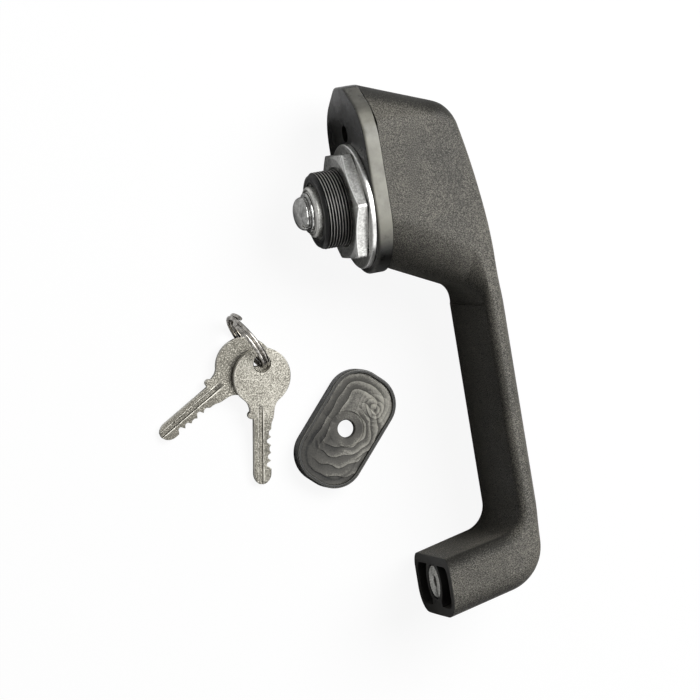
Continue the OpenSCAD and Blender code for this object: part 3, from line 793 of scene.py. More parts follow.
@dataclass
class Moulding:
    """Head, grip and foot in one skin of sections, from the head pad round to the foot's end.

    Widths, corners, powers and crowns are keys: a stage along the guides and the value there. A band of
    painted shade is the place where it starts, how softly it does and, if it has its own, its darkness.
    """

    pad_t: float = 5.0
    grip_reach: float = 30.5
    front_x: float = 35.6
    head_high: float = 36.5
    head_low: float = 20.2
    corner_reach: float = 29.4
    front_bend_y: float = -2.8
    top_fall: float = 22.5
    underside_fall: float = 24.5
    foot_top_rise: float = 10.0
    foot_bottom_rise: float = 13.9
    head_corner_r: float = 13.2
    upper_fillet_r: float = 7.8
    lower_fillet_r: float = 8.6
    heel_r: float = 14.4
    foot_top_y: float = -111.8
    foot_low_y: float = -130.4
    screw_y: float = -120.0
    boss_r: float = 7.3
    web_half: float = 4.5
    pocket_half: Span = (6.4, 15.1)
    pocket_corner_r: float = 3.5
    pocket_depth: float = 14.0
    pocket_lead: float = 3.0
    pocket_margin: float = 0.2
    web_corner_r: float = 0.8
    crease_sweep: float = 76.0
    overrun: float = 1.0
    shank_hole_r: float = 12.2
    barrel_x: Span = (8.0, 30.0)
    barrel_hole_r: float = 13.05
    flange_x: Span = (29.5, 45.0)
    flange_hole_r: float = 16.7
    insert_l: float = 12.0
    insert_hole_r: float = 5.5
    locating_y: float = 22.0
    locating_r: float = 2.7
    locating_depth: float = 6.0
    # Painted shade: the foot's end face, and bands along the rounded edges of the foot's sides and the
    # head's top
    end_shade: float = 0.8
    dark_side: Span = (15.2, 0.8)
    dark_foot: Span = (25.5, 3.0)
    dark_rise: float = 9.0
    dark_upper: Triple = (0.86, 0.09, 0.6)
    dark_lower: Triple = (0.12, 0.08, 0.25)
    dark_top: Triple = (4.0, 1.6, 0.6)
    crisp: float = 24.0
    width: Keys = ((0, 19.6), (0.25, 20), (4, 20), (5, 18))
    inner_corner_w: Keys = ((0, 19), (1, 10.2), (2, 2.5), (3, 2.5), (4, 3), (5, 4))
    inner_corner_h: Keys = ((0, 14.6), (1, 11.2), (2, 2), (3, 2), (4, 3.5), (5, 4))
    outer_corner_w: Keys = ((0, 16.5), (0.4, 5), (1, 5), (2, 4), (3, 4), (4, 7), (5, 8))
    outer_corner_h: Keys = ((0, 12), (0.4, 4), (1, 4), (2, 1.6), (3, 1.6), (4, 6), (5, 7.5))
    outer_power: Keys = ((0, 1.28), (0.3, 2), (5, 2))
    outer_crown: Keys = ((0, 0), (0.3, 0), (0.65, 2.2), (1, 2.2), (2, 3.4), (3, 3.4), (4, 0.4), (5, 0.2))
    inner_crown: Keys = ((0, 0), (1, 0), (2, 1.2), (3, 1.2), (4, 0.5), (5, 0))

    def guides(self, stage: Array) -> tuple[Array, Array]:
        """Gives the inner and the outer guide.

        The inner guide runs along the underside, a round bend, the grip, a round bend and the
        foot's upper face. The outer guide runs along the top, a round corner, the head's front,
        which bends into the grip along a parabola, the grip, the heel and the foot's lower face.

        Args:
            stage: 0 to 1 head, 1 to 2 bend, 2 to 3 grip, 3 to 4 bend, 4 to 5 foot.

        Returns:
            The inner and the outer points, as X and Y.
        """
        upper_r, lower_r, heel_r = self.upper_fillet_r, self.lower_fillet_r, self.heel_r
        reach = self.grip_reach - self.pad_t
        under = -self.head_low - reach * tangent(self.underside_fall)
        upper_y = under - upper_r * tangent(45 - self.underside_fall / 2)
        upper = np.array([self.grip_reach - upper_r, upper_y])
        under_end = upper + polar(upper_r, 90 - self.underside_fall)
        lower_end = self.foot_top_y + reach * tangent(self.foot_top_rise)
        lower_y = lower_end + lower_r * tangent(45 - self.foot_top_rise / 2)
        lower = np.array([self.grip_reach - lower_r, lower_y])
        foot_start = lower + polar(lower_r, self.foot_top_rise - 90)
        inner = trail(
            stage,
            [
                (0, 1, straight([self.pad_t, -self.head_low], under_end)),
                (1, 2, bend(upper, upper_r, 90 - self.underside_fall, 0)),
                (2, 3, straight([self.grip_reach, upper_y], [self.grip_reach, lower_y])),
                (3, 4, bend(lower, lower_r, 0, self.foot_top_rise - 90)),
                (4, 5, straight(foot_start, [self.pad_t, self.foot_top_y])),
            ],
        )
        corner_y = self.head_high - (self.corner_reach - self.pad_t) * tangent(self.top_fall)
        corner = np.array([self.corner_reach, corner_y])
        front = np.array([self.front_x, self.front_bend_y])
        front_end = np.array([self.front_x, (self.front_bend_y + upper_y) / 2])
        fall = float(np.degrees(np.arctan2(corner[1] - front[1], front[0] - corner[0])))
        back = self.head_corner_r / float(np.cos(np.radians((fall - self.top_fall) / 2)))
        centre = corner - polar(back, 90 - (self.top_fall + fall) / 2)
        top_end = centre + polar(self.head_corner_r, 90 - self.top_fall)
        front_start = centre + polar(self.head_corner_r, 90 - fall)
        heel_low = self.foot_low_y + (self.front_x - self.pad_t) * tangent(self.foot_bottom_rise)
        heel_y = heel_low + heel_r * tangent(45 - self.foot_bottom_rise / 2)
        heel = np.array([self.front_x - heel_r, heel_y])
        heel_end = heel + polar(heel_r, self.foot_bottom_rise - 90)
        outer = trail(
            stage,
            [
                (0, 1 / 4, straight([self.pad_t, self.head_high], top_end)),
                (1 / 4, 2 / 3, bend(centre, self.head_corner_r, 90 - self.top_fall, 90 - fall)),
                (2 / 3, 1, sweep(front_start, front, front_end, 0, 0.5)),
                (1, 1.75, sweep(front_start, front, front_end, 0.5, 1)),
                (1.75, 2, straight(front_end, [self.front_x, upper_y])),
                (2, 3, straight([self.front_x, upper_y], [self.front_x, lower_y])),
                (3, 3.25, straight([self.front_x, lower_y], [self.front_x, heel_y])),
                (3.25, 4, bend(heel, heel_r, 0, self.foot_bottom_rise - 90)),
                (4, 5, straight(heel_end, [self.pad_t, self.foot_low_y])),
            ],
        )
        return inner, outer

    def grid(self) -> Array:
        """Gives the skin's points.

        A section is drawn in s, the distance from the middle plane, and v, the distance from
        the inner guide. It runs along the inner face, round an elliptic corner that stops short
        of a quarter turn and so leaves a crease, up the side, round a superellipse corner and
        back along the outer face. Each face bulges by its crown times 1 - (s / width)^2. The
        point then stands at inner + v times the unit vector from inner to outer guide, with Z = s.

        Returns:
            The points, one row for each section.
        """
        # First stage, last stage and number of sections of each leg
        legs = [(0, 1 / 4, 14), (1 / 4, 2 / 3, 26), (2 / 3, 1, 24), (1, 1.75, 22), (1.75, 2, 8)]
        legs += [(2, 3, 40), (3, 3.25, 8), (3.25, 4, 34)]
        parts = [np.linspace(first, last, count, endpoint=False) for first, last, count in legs]
        stage = np.concatenate(parts + [np.linspace(4, 4.985, 26), [5]])
        inner, outer = self.guides(stage)
        span = outer - inner
        depth = np.linalg.norm(span, axis=1)[:, None]
        along = span / depth

        def at(keys: Keys) -> Array:
            """Reads a run of keys at every stage, as one column."""
            places, values = np.transpose(np.asarray(keys, float))
            return np.interp(stage, places, values)[:, None]

        w = at(self.width)
        in_w, in_h = at(self.inner_corner_w), at(self.inner_corner_h)
        out_w, out_h = at(self.outer_corner_w), at(self.outer_corner_h)
        flat_in = np.linspace(0, 1, 22, endpoint=False)[None]
        sweep_in = np.radians(np.linspace(0, self.crease_sweep, 26))[None]
        rise = np.linspace(0, 1, 18)[None, 1:-1]
        sweep_out = np.radians(np.linspace(0, 90, 16))[None]
        flat_out = np.linspace(1, 0, 30)[None, 1:]
        top = np.radians(self.crease_sweep)
        power = 2 / at(self.outer_power)
        s_in = np.hstack([(w - in_w) * flat_in, w - in_w + in_w * np.sin(sweep_in) / np.sin(top)])
        v_in = np.hstack([0 * w * flat_in, in_h * (1 - np.cos(sweep_in)) / (1 - np.cos(top))])
        v_in = v_in - at(self.inner_crown) * (1 - (s_in / w) ** 2)
        s_side = w + 0 * rise
        v_side = in_h + (depth - out_h - in_h) * rise
        s_out = np.hstack([w - out_w + out_w * np.cos(sweep_out) ** power, (w - out_w) * flat_out])
        v_out = np.hstack([depth - out_h + out_h * np.sin(sweep_out) ** power, depth + 0 * flat_out])
        v_out = v_out + at(self.outer_crown) * (1 - (s_out / w) ** 2)
        s = np.hstack([s_in, s_side, s_out])
        v = np.hstack([v_in, v_side, v_out])
        s = np.hstack([s, -s[:, -2:0:-1]])
        v = np.hstack([v, v[:, -2:0:-1]])
        place = inner[:, None] + v[..., None] * along[:, None]
        return np.concatenate([place, s[..., None]], axis=-1)

    def cutters(self) -> list[Piece]:
        """Gives the bores for the lock, the insert and the locating peg, and both pockets.

        Returns:
            The solids to take away.
        """
        start = self.pad_t - self.overrun
        insert_end, locating_end = self.pad_t + self.insert_l, self.pad_t + self.locating_depth
        return [
            round_cutter("cut_shank", start, self.barrel_x[0] + self.overrun, self.shank_hole_r),
            round_cutter("cut_barrel", *self.barrel_x, self.barrel_hole_r),
            round_cutter("cut_flange", *self.flange_x, self.flange_hole_r),
            round_cutter("cut_insert", start, insert_end, self.insert_hole_r, (self.screw_y, 0)),
            round_cutter("cut_locating", start, locating_end, self.locating_r, (self.locating_y, 0)),
            self.pocket_cutter("cut_pocket_near", 1),
            self.pocket_cutter("cut_pocket_far", -1),
        ]

    def foot_middle(self) -> Span:
        """Gives the Y of the middle of the foot's end, and the foot's slant in radians."""
        slant = np.radians((self.foot_top_rise + self.foot_bottom_rise) / 2)
        return (self.foot_top_y + self.foot_low_y) / 2, float(slant)

    def pocket_cutter(self, name: str, side: int) -> Piece:
        """Gives one pocket beside the screw boss, a rounded outline carried along the foot's slant.

        Args:
            name: name of the cutter.
            side: 1 for the side that faces up off the table, -1 for the other.

        Returns:
            The solid to take away.
        """
        middle, slant = self.foot_middle()
        boss = self.screw_y - middle
        high, wide = self.pocket_half
        top = np.degrees(np.arcsin((high - boss) / self.boss_r))
        low = np.degrees(np.arccos(self.web_half / self.boss_r))
        bow = polar(self.boss_r, np.linspace(top, -low, 25))
        rim = np.stack([boss + bow[:, 1], bow[:, 0]], axis=-1)
        outline = np.vstack([rim, [[-high, self.web_half], [-high, wide], [high, wide]]])
        corners = [self.web_corner_r, self.pocket_corner_r, self.pocket_corner_r]
        shape = soften(outline, np.concatenate([np.zeros(len(rim)), corners]), 8)
        run = np.array([-self.pocket_lead, self.pocket_depth])[:, None]
        along, up = np.broadcast_arrays(run, shape[None, :, 0])
        x = self.pad_t + along * np.cos(slant) - up * np.sin(slant)
        y = middle + along * np.sin(slant) + up * np.cos(slant)
        z = np.broadcast_to(side * shape[None, :, 1], x.shape)
        return mesh_object(name, np.stack([x, y, z], axis=-1), Ends.CAPPED)

    def build(self, palette: Palette) -> None:
        """Skins the handle, cuts its bores and dresses it.

        Args:
            palette: the finishes of the set.
        """
        piece = mesh_object("handle_moulding", self.grid(), Ends.CAPPED, self.crisp)
        cut_away(piece, self.cutters(), self.crisp)
        # Painted shade in the pockets, on the foot's end and along the rounded edges
        paint(piece, "painted_shade", self.painted_shade)
        fit_out(piece, "handle", "handle_body", "grained_plastic", palette)

    def painted_shade(self, place: Array) -> Array:
        """Gives the painted shade of each place, from 0 to 1.

        Args:
            place: places on the moulding.

        Returns:
            The greater of the painted shade in the pockets and on the foot's end, and that along the edges.
        """
        return np.maximum(self.pocket_and_end_shade(*place.T), self.edge_shade(*place.T))

    def pocket_and_end_shade(self, x: Array, y: Array, z: Array) -> Array:
        """Gives painted shade: 1 in the foot's pockets, where little light gets in, and a share on its end
        face.

        Args:
            x: distance from the door.
            y: height along the grip.
            z: distance from the middle plane.

        Returns:
            The painted shade of each place.
        """
        middle, slant = self.foot_middle()
        out, margin = x - self.pad_t, self.pocket_margin
        across = np.abs((y - middle) * np.cos(slant) - out * np.sin(slant))
        high, wide = self.pocket_half
        inside = (across < high + margin) & (np.abs(z) < wide + margin)
        inside &= (out < self.pocket_depth + self.overrun) & (y < self.foot_top_y + self.pocket_depth)
        on_end = (out < 0.1 * margin) & (y < self.foot_top_y + self.overrun)
        return np.maximum(inside, self.end_shade * on_end)

    def edge_shade(self, x: Array, y: Array, z: Array) -> Array:
        """Gives a soft band of painted shade along the rounded edges of the foot's sides and the head's top.

        Across the foot the band follows the share of the height between its lower and its upper
        edge, and along the head's top the distance below it.

        Args:
            x: distance from the door.
            y: height along the grip.
            z: distance from the middle plane.

        Returns:
            The darkness of each place.
        """
        out = x - self.pad_t
        upper = self.foot_top_y + out * tangent(self.foot_top_rise)
        lower = self.foot_low_y + out * tangent(self.foot_bottom_rise)
        height = (y - lower) / (upper - lower)
        side_from, side_soft = self.dark_side
        foot_to, foot_soft = self.dark_foot
        on_foot = step(np.abs(z) - side_from, side_soft) * step(foot_to - x, foot_soft)
        on_foot *= y < self.foot_top_y + self.dark_rise
        (high, high_soft, high_dark), (low, low_soft, low_dark) = self.dark_upper, self.dark_lower
        bands = high_dark * step(height - high, high_soft) + low_dark * step(low - height, low_soft)
        below = self.head_high - out * tangent(self.top_fall) - y
        depth, depth_soft, depth_dark = self.dark_top
        return np.maximum(on_foot * bands, depth_dark * step(depth - below, depth_soft) * (y > 0))


@dataclass
class HeadPad:
    """Pad between the head and the door, with a round lip below and both top corners cut.

    The rim carries a pale painted reflection where it faces sideways, at its cut corners and more on its
    sides: each of these is how far it must face so, how softly that starts, and the painted sheen it
    adds. They fade below a height, over a length. The edge's highlight is the strength and the width of
    a painted highlight along the door-side edge.
    """

    thick: float = 5.0
    half_w: float = 20.0
    top: float = 36.5
    corner: Span = (15.0, 9.6)
    side_corner_r: float = 9.0
    top_corner_r: float = 1.6
    lip_y: float = -1.9
    hole_r: float = 12.2
    locating_y: float = 22.0
    locating_r: float = 2.7
    door_edge_r: float = 0.8
    head_edge_r: float = 0.45
    count: int = 280
    edge_highlight: Span = (0.35, 0.35)
    corner_highlight: Triple = (0.45, 0.05, 0.35)
    side_highlight: Triple = (0.8, 0.1, 0.65)
    highlight_from_y: Span = (-12.5, 2.0)

    def outline(self) -> Array:
        """Gives the outline: a half circle below, straight sides and a cut top.

        Returns:
            The points in order, as Y and Z.
        """
        lip = polar(self.half_w, np.linspace(90, 270, 73)) + np.array([self.lip_y, 0])
        side, end = self.top - self.corner[1], self.half_w - self.corner[0]
        upper = [[side, -self.half_w], [self.top, -end], [self.top, end], [side, self.half_w]]
        ends = [self.side_corner_r, self.top_corner_r, self.top_corner_r, self.side_corner_r]
        rounding = np.concatenate([np.full(len(lip), 0.01), ends])
        return evenly(soften(np.vstack([lip, upper]), rounding, 10), self.count)

    def grid(self) -> tuple[Array, Array]:
        """Carries a profile round the outline.

        Row k stands at the outline moved inwards by its inset along the outline's normal, at
        its own X. The first and last rows are the shank hole, so the loop closes through it.

        Returns:
            The points, and the painted sheen of each: a pale painted reflection, greatest along the rim's
            straight sides, and a painted highlight along the edge.
        """
        shape = self.outline()
        step_along = np.roll(shape, -1, axis=0) - np.roll(shape, 1, axis=0)
        normal = np.stack([step_along[:, 1], -step_along[:, 0]], axis=-1)
        normal = normal / np.linalg.norm(step_along, axis=1)[:, None]
        near, far = self.door_edge_r, self.head_edge_r
        bow = np.radians(np.linspace(0, 90, 7))
        band = np.linspace(near, self.thick - far, 6)[1:-1]
        inset = np.concatenate([near * (1 - np.sin(bow)), 0 * band, far * (1 - np.cos(bow))])
        x = np.concatenate([near * (1 - np.cos(bow)), band, self.thick - far * (1 - np.sin(bow))])
        skin = shape[None] - normal[None] * inset[:, None, None]
        hole = polar(self.hole_r, np.degrees(np.arctan2(shape[:, 1], shape[:, 0])))
        middle = [hole * 0.5 + skin[k] * 0.5 for k in (0, -1)]
        flat = np.concatenate([[hole], middle[:1], skin, middle[1:], [hole]])
        x = np.concatenate([[0, 0], x, [self.thick, self.thick]])
        # Painted highlight along the door-side edge, and a pale painted reflection where the rim faces
        # sideways, fading below a height
        edge_gleam, edge_w = self.edge_highlight
        edge = edge_gleam * ridge(x - 0.4 * near, edge_w) * (x > 0.01)
        rim = (x > 0.25 * near) & (x < self.thick - 0.5 * far)
        turned = np.abs(normal[:, 1])
        highlight_rules = (self.corner_highlight, self.side_highlight)
        rim_sheen = sum(painted_highlight * step(turned - start, soft) for start, soft, painted_highlight in highlight_rules)
        low, low_soft = self.highlight_from_y
        rim_sheen = rim_sheen * step(shape[:, 0] - low, low_soft)
        painted_sheen = np.maximum(edge[:, None], rim[:, None] * rim_sheen)
        points = np.concatenate([np.broadcast_to(x[:, None, None], flat.shape[:2] + (1,)), flat], axis=-1)
        return points, painted_sheen

    def build(self, palette: Palette) -> None:
        """Makes the pad, bores its locating hole and dresses it.

        Args:
            palette: the finishes of the set.
        """
        points, painted_sheen = self.grid()
        piece = mesh_object("sealing_pad", points, Ends.JOINED, 30, {"painted_highlight": painted_sheen})
        bore = round_cutter("cut_pad_locating", -1, self.thick + 1, self.locating_r, (self.locating_y, 0))
        cut_away(piece, [bore], 30)
        fit_out(piece, "handle", "head_pad", "black_plastic", palette)


@dataclass
class LockHousing:
    """Housing of the lock: threaded shank, barrel in the head and flange round the button.

    The thread's form is the steepness of its flanks and the width of its crests. A seat is its place
    along the axis and its radius, and the ring groove in the shank's end its inner radius, outer
    radius and depth.
    """

    shank_r: float = 12.0
    shank_end: float = -13.7
    thread_from: float = -0.4
    thread_pitch: float = 0.92
    thread_depth: float = 0.6
    thread_form: Span = (1.5, 0.3)
    thread_lead: float = 0.5
    thread_start: float = 0.7
    thread_fade: float = 0.5
    crest_depth: float = 0.12
    rows_per_turn: int = 12
    ring_groove: Triple = (9.3, 9.85, 0.12)
    cap_seat: Span = (-11.0, 9.02)
    bore_r: float = 8.6
    barrel_x: float = 8.0
    barrel_r: float = 13.0
    chamber_r: float = 11.0
    flange_x: float = 29.5
    flange_r: float = 16.5
    face_x: float = 32.5
    bezel_seat: Span = (31.0, 13.5)
    edge: float = 0.1
    around: int = 144

    def profile(self) -> Array:
        """Gives the profile, from the shank's end along the outside and back through the bores.

        Returns:
            Distance along the axis and radius of each row.
        """
        end, root = self.shank_end, self.shank_r - self.thread_depth
        first = end + self.thread_lead
        rows = int((self.thread_from - first) / self.thread_pitch * self.rows_per_turn)
        thread = np.stack([np.linspace(first, self.thread_from, rows), np.full(rows, self.shank_r)], axis=-1)
        inner, outer, deep = self.ring_groove
        (seat_x, seat_r), (bezel_x, bezel_r) = self.cap_seat, self.bezel_seat
        back, flange, face, edge = self.barrel_x, self.flange_x, self.face_x, self.edge
        return np.vstack(
            [
                [[end, seat_r], [end, inner], [end + deep, inner + 0.15]],
                [[end + deep, outer - 0.15], [end, outer], [end, root - 0.5], [end + edge, root - 0.2]],
                thread,
                [[0, self.shank_r], [back - edge, self.shank_r], [back, self.barrel_r]],
                [[flange - edge, self.barrel_r], [flange, self.flange_r - edge]],
                [[flange + edge, self.flange_r], [face - 0.5, self.flange_r]],
                [[face - 0.3, self.flange_r - edge], [face, self.flange_r - 0.5]],
                [[face, bezel_r + edge], [face - edge, bezel_r], [bezel_x, bezel_r]],
                [[bezel_x, self.chamber_r], [back, self.chamber_r], [back, self.bore_r]],
                [[seat_x, self.bore_r], [seat_x, seat_r]],
            ]
        )

    def grid(self) -> tuple[Array, Array]:
        """Turns the profile and cuts the thread.

        Radius is the profile's, less the thread depth times a triangle wave of
        x / pitch - a / 360, which gives one helix. The depth fades out at both thread ends.

        Returns:
            The points, and the painted highlight of each, which is greatest on the crests of the thread.
        """
        profile = self.profile()
        points = lathe(profile, around=self.around)
        turn = np.linspace(0, 1, self.around, endpoint=False)
        x, r = profile[:, :1], profile[:, 1:]
        wave = np.abs(2 * np.mod(x / self.thread_pitch - turn, 1) - 1)
        steep, crest = self.thread_form
        form = np.clip(wave * steep - crest, 0, 1)
        first = self.shank_end + self.thread_lead
        start = 1 - np.clip((x - first) / self.thread_start, 0, 1)
        fade = np.clip((self.thread_from - x) / self.thread_fade, 0, 1)
        cut = (r > self.shank_r - self.thread_depth) & (x < self.thread_from)
        sink = np.where(cut, self.thread_depth * fade * np.maximum(form, start), 0)
        points[..., 1:] *= (1 - sink / r)[..., None]
        # Painted highlight along the crests of the thread
        painted_sheen = np.where(cut & (x > first + self.edge), np.clip(1 - sink / self.crest_depth, 0, 1), 0)
        return points, painted_sheen

    def build(self, palette: Palette) -> None:
        """Makes the housing and dresses it.

        Args:
            palette: the finishes of the set.
        """
        points, painted_sheen = self.grid()
        piece = mesh_object("threaded_housing", points, Ends.JOINED, 40, {"painted_highlight": painted_sheen})
        fit_out(piece, "handle", "lock_housing", "black_steel", palette)


@dataclass
class ClampSet:
    """Hexagon nut and flat washer on the shank, with the end cap in the shank's end.

    The nut's slopes are those of its two cones. The washer's highlight is the strength of its painted
    highlight, the width of the band along the rim and how softly that band starts.
    """

    nut_flat_r: float = 16.0
    nut_face_r: float = 15.52
    nut_corner_r: float = 18.3
    nut_slope: Span = (0.3, 0.15)
    nut_x: Span = (-5.6, -1.6)
    nut_lip: float = 0.6
    nut_soft: float = 0.14
    nut_cone_share: float = 0.85
    bore_r: float = 12.05
    washer_r: float = 19.5
    washer_hole_r: float = 13.3
    washer_t: float = 1.6
    washer_y: float = -0.5
    washer_highlight: Triple = (0.45, 0.45, 0.12)
    cap_face_x: float = -15.4
    cap_hole_r: float = 4.09
    cap_groove_r: Span = (6.3, 6.9)
    cap_groove_depth: float = 0.25
    cap_bevel_r: float = 7.6
    cap_boss_r: float = 7.97
    cap_shelf_r: float = 8.9
    cap_shelf_x: Span = (-12.05, -11.0)

    def nut_grid(self) -> tuple[Array, Array]:
        """Gives the nut.

        The hexagon's radius is flat / cos(a - nearest flat), cut off just inside its corners.
        Each face ends in a circle, from which a cone runs out to the hexagon, so the cone's
        edge stands at x = end + slope (hexagon - circle) and curves on every side.

        Returns:
            The points, and the painted highlight of each, which is greatest along the edges.
        """
        lean = np.tile(30 * np.sin(np.radians(np.linspace(-90, 90, 33)[:-1])), 6)
        turn = lean + np.repeat(np.arange(6) * 60 + 30, 32)
        hexagon = np.minimum(self.nut_flat_r / np.cos(np.radians(lean)), self.nut_corner_r)
        cone, back = (slope * (hexagon - self.nut_face_r) for slope in self.nut_slope)
        low, high = self.nut_x
        one = np.ones_like(turn)
        lip, soft, share = self.nut_lip, self.nut_soft, self.nut_cone_share
        face = self.nut_face_r
        # Place along the axis, radius and painted highlight of each row
        rows = [
            (low + lip * one, self.bore_r * one, 0),
            (low * one, (self.bore_r + lip) * one, 0.6),
            (low * one, (self.bore_r + lip + 0.3) * one, 0),
            (low * one, (face - 0.3) * one, 0),
            (low + 0.02 * one, face * one, 0.8),
            (low + cone * share, face + (hexagon - face) * share, 0),
            (low + cone, hexagon - 0.03, 1),
            (low + cone + soft, hexagon, 0.5),
            (low + cone + 3 * soft, hexagon, 0),
            (high - back - 3 * soft, hexagon, 0),
            (high - back - soft, hexagon, 0.5),
            (high - back, hexagon - 0.03, 1),
            (high - back * share, face + (hexagon - face) * share, 0),
            (high * one, face * one, 0.4),
            (high * one, (self.bore_r + lip) * one, 0),
            (high - lip * one, self.bore_r * one, 0),
        ]
        x = np.stack([row[0] for row in rows])
        r = np.stack([row[1] for row in rows])
        edge = np.array([row[2] for row in rows], float)[:, None]
        # Painted highlight along the hexagon's corners
        corner = step(np.abs(lean) - 29.2, 0.25)[None] * (r > self.nut_flat_r)
        points = np.stack([x, r * np.sin(np.radians(turn)), r * np.cos(np.radians(turn))], axis=-1)
        return points, np.maximum(edge, corner)

    def washer_grid(self) -> tuple[Array, Array]:
        """Gives the washer, a flat ring whose outer edges were rounded, with a painted highlight along its
        rim.

        Returns:
            The points, and the painted highlight of each, which is greatest near the rim.
        """
        t, hole, rim = self.washer_t, self.washer_hole_r, self.washer_r
        corners = [[-t, hole], [-t, rim - 0.9], [-t, rim], [0, rim], [0, hole]]
        profile = soften(corners, [0.2, 0.01, 0.4, 0.3, 0.2], 6)
        painted_highlight, band, soft = self.washer_highlight
        # Painted highlight in a band along the rim
        painted_sheen = painted_highlight * step(profile[:, 1] - rim + band, soft)[:, None]
        points = lathe(profile, (self.washer_y, 0), 160)
        return points, np.broadcast_to(painted_sheen, points.shape[:2])

    def cap_grid(self) -> tuple[Array, Array]:
        """Gives the end cap, a disc turned in steps and grooves round the plunger.

        Returns:
            The points, and the painted highlight of each, which is greatest on the bevel and the groove's
            lip.
        """
        face, hole, boss, shelf = self.cap_face_x, self.cap_hole_r, self.cap_boss_r, self.cap_shelf_r
        (inner, outer), floor = self.cap_groove_r, face + self.cap_groove_depth
        front, back = self.cap_shelf_x
        # Distance along the axis, radius and rounding of each corner
        corners = np.array(
            [
                [face, hole, 0.1],
                [face, inner, 0.1],
                [floor, inner + 0.15, 0.06],
                [floor, outer - 0.15, 0.06],
                [face, outer, 0.1],
                [face, boss - 0.52, 0.15],
                [face + 0.5, boss, 0.3],
                [front, boss, 0.2],
                [front, shelf, 0.1],
                [back, shelf, 0.1],
                [back, hole, 0.1],
            ]
        )
        profile = soften(corners[:, :2], corners[:, 2], 5)
        x, r = profile[:, 0], profile[:, 1]
        # Painted highlight rings on the bevel and the groove's lip
        painted_sheen = (x < face + 0.8) * ridge(r - self.cap_bevel_r, 0.3)
        painted_sheen = np.maximum(painted_sheen, (x < face + 0.1) * ridge(r - inner, 0.12))
        points = lathe(profile)
        return points, np.broadcast_to(painted_sheen[:, None], points.shape[:2])

    def build(self, palette: Palette) -> None:
        """Makes the nut, the washer and the end cap and dresses them.

        Args:
            palette: the finishes of the set.
        """
        for name, (points, painted_sheen), crisp, node, slot in (
            ("hexagon_nut", self.nut_grid(), 20, "clamp_nut", "zinc_steel"),
            ("flat_washer", self.washer_grid(), 40, "clamp_washer", "zinc_steel"),
            ("turned_end_cap", self.cap_grid(), 34, "shank_end_cap", "grey_steel"),
        ):
            piece = mesh_object(name, points, Ends.JOINED, crisp, {"painted_highlight": painted_sheen})
            fit_out(piece, "handle", node, slot, palette)


@dataclass
class PlungerEnd:
    """Bright tip of the plunger: a ring, a neck and a flattened dome."""

    back_x: float = -15.5
    ring_x: float = -16.4
    dome_x: float = -17.2
    ring_r: float = 6.3
    neck_r: float = 4.8
    tip_r: float = 5.25
    dome_h: float = 2.8
    spigot_r: float = 2.6

    def grid(self) -> Array:
        """Turns a ring, a neck and a dome.

        The dome is a superellipse: (r / tip)^3 + (x / height)^2 = 1, with its edge rounded back
        to the neck.

        Returns:
            The points, from the ring's back to the top of the dome.
        """
        t = np.radians(np.linspace(0, 89, 30))
        x = self.dome_x - self.dome_h * np.sin(t)
        dome = np.stack([x, self.tip_r * np.cos(t) ** (2 / 3)], axis=-1)
        # Distance along the axis, radius and rounding of each corner
        corners = np.array(
            [
                [self.back_x, self.spigot_r, 0.05],
                [self.back_x, self.ring_r, 0.3],
                [self.ring_x, self.ring_r, 0.3],
                [self.ring_x, self.neck_r, 0.15],
                [self.dome_x + 0.25, self.neck_r, 0.15],
                [self.dome_x + 0.2, self.tip_r - 0.1, 0.1],
            ]
        )
        body = soften(corners[:, :2], corners[:, 2], 5)
        return lathe(np.vstack([body, dome]), around=96)

    def build(self, palette: Palette) -> None:
        """Makes the tip and dresses it."""
        piece = mesh_object("domed_tip", self.grid(), Ends.CAPPED, 40)
        fit_out(piece, "plunger", "plunger_tip", "chrome", palette)


@dataclass
class FootInsert:
    """Threaded steel insert in the foot, faced on a lathe."""

    face_x: float = 5.0
    length: float = 12.0
    outer_r: float = 5.45
    hole_r: float = 2.1
    groove_mm: float = 0.7
    groove_depth: float = 0.1
    screw_y: float = -120.0

    def grid(self) -> Array:
        """Turns a sleeve with a bevelled hole and facing grooves, a sine of the radius.

        Returns:
            The points, from the hole's mouth over the face and back through the hole.
        """
        r = np.linspace(self.hole_r + 0.5, self.outer_r - 0.5, 44)
        groove = self.groove_depth * np.sin(r * 2 * np.pi / self.groove_mm)
        face = np.stack([self.face_x + self.groove_depth + groove, r], axis=-1)
        end = self.face_x + self.length
        mouth = [[self.face_x + 0.6, self.hole_r]]
        sleeve = [[self.face_x + 1.0, self.outer_r], [end, self.outer_r], [end, self.hole_r]]
        return lathe(np.vstack([mouth, face, sleeve]), (self.screw_y, 0), 96)

    def build(self, palette: Palette) -> None:
        """Makes the insert and dresses it."""
        piece = mesh_object("screw_insert", self.grid(), Ends.JOINED, 35)
        fit_out(piece, "handle", "foot_insert", "grey_steel", palette)


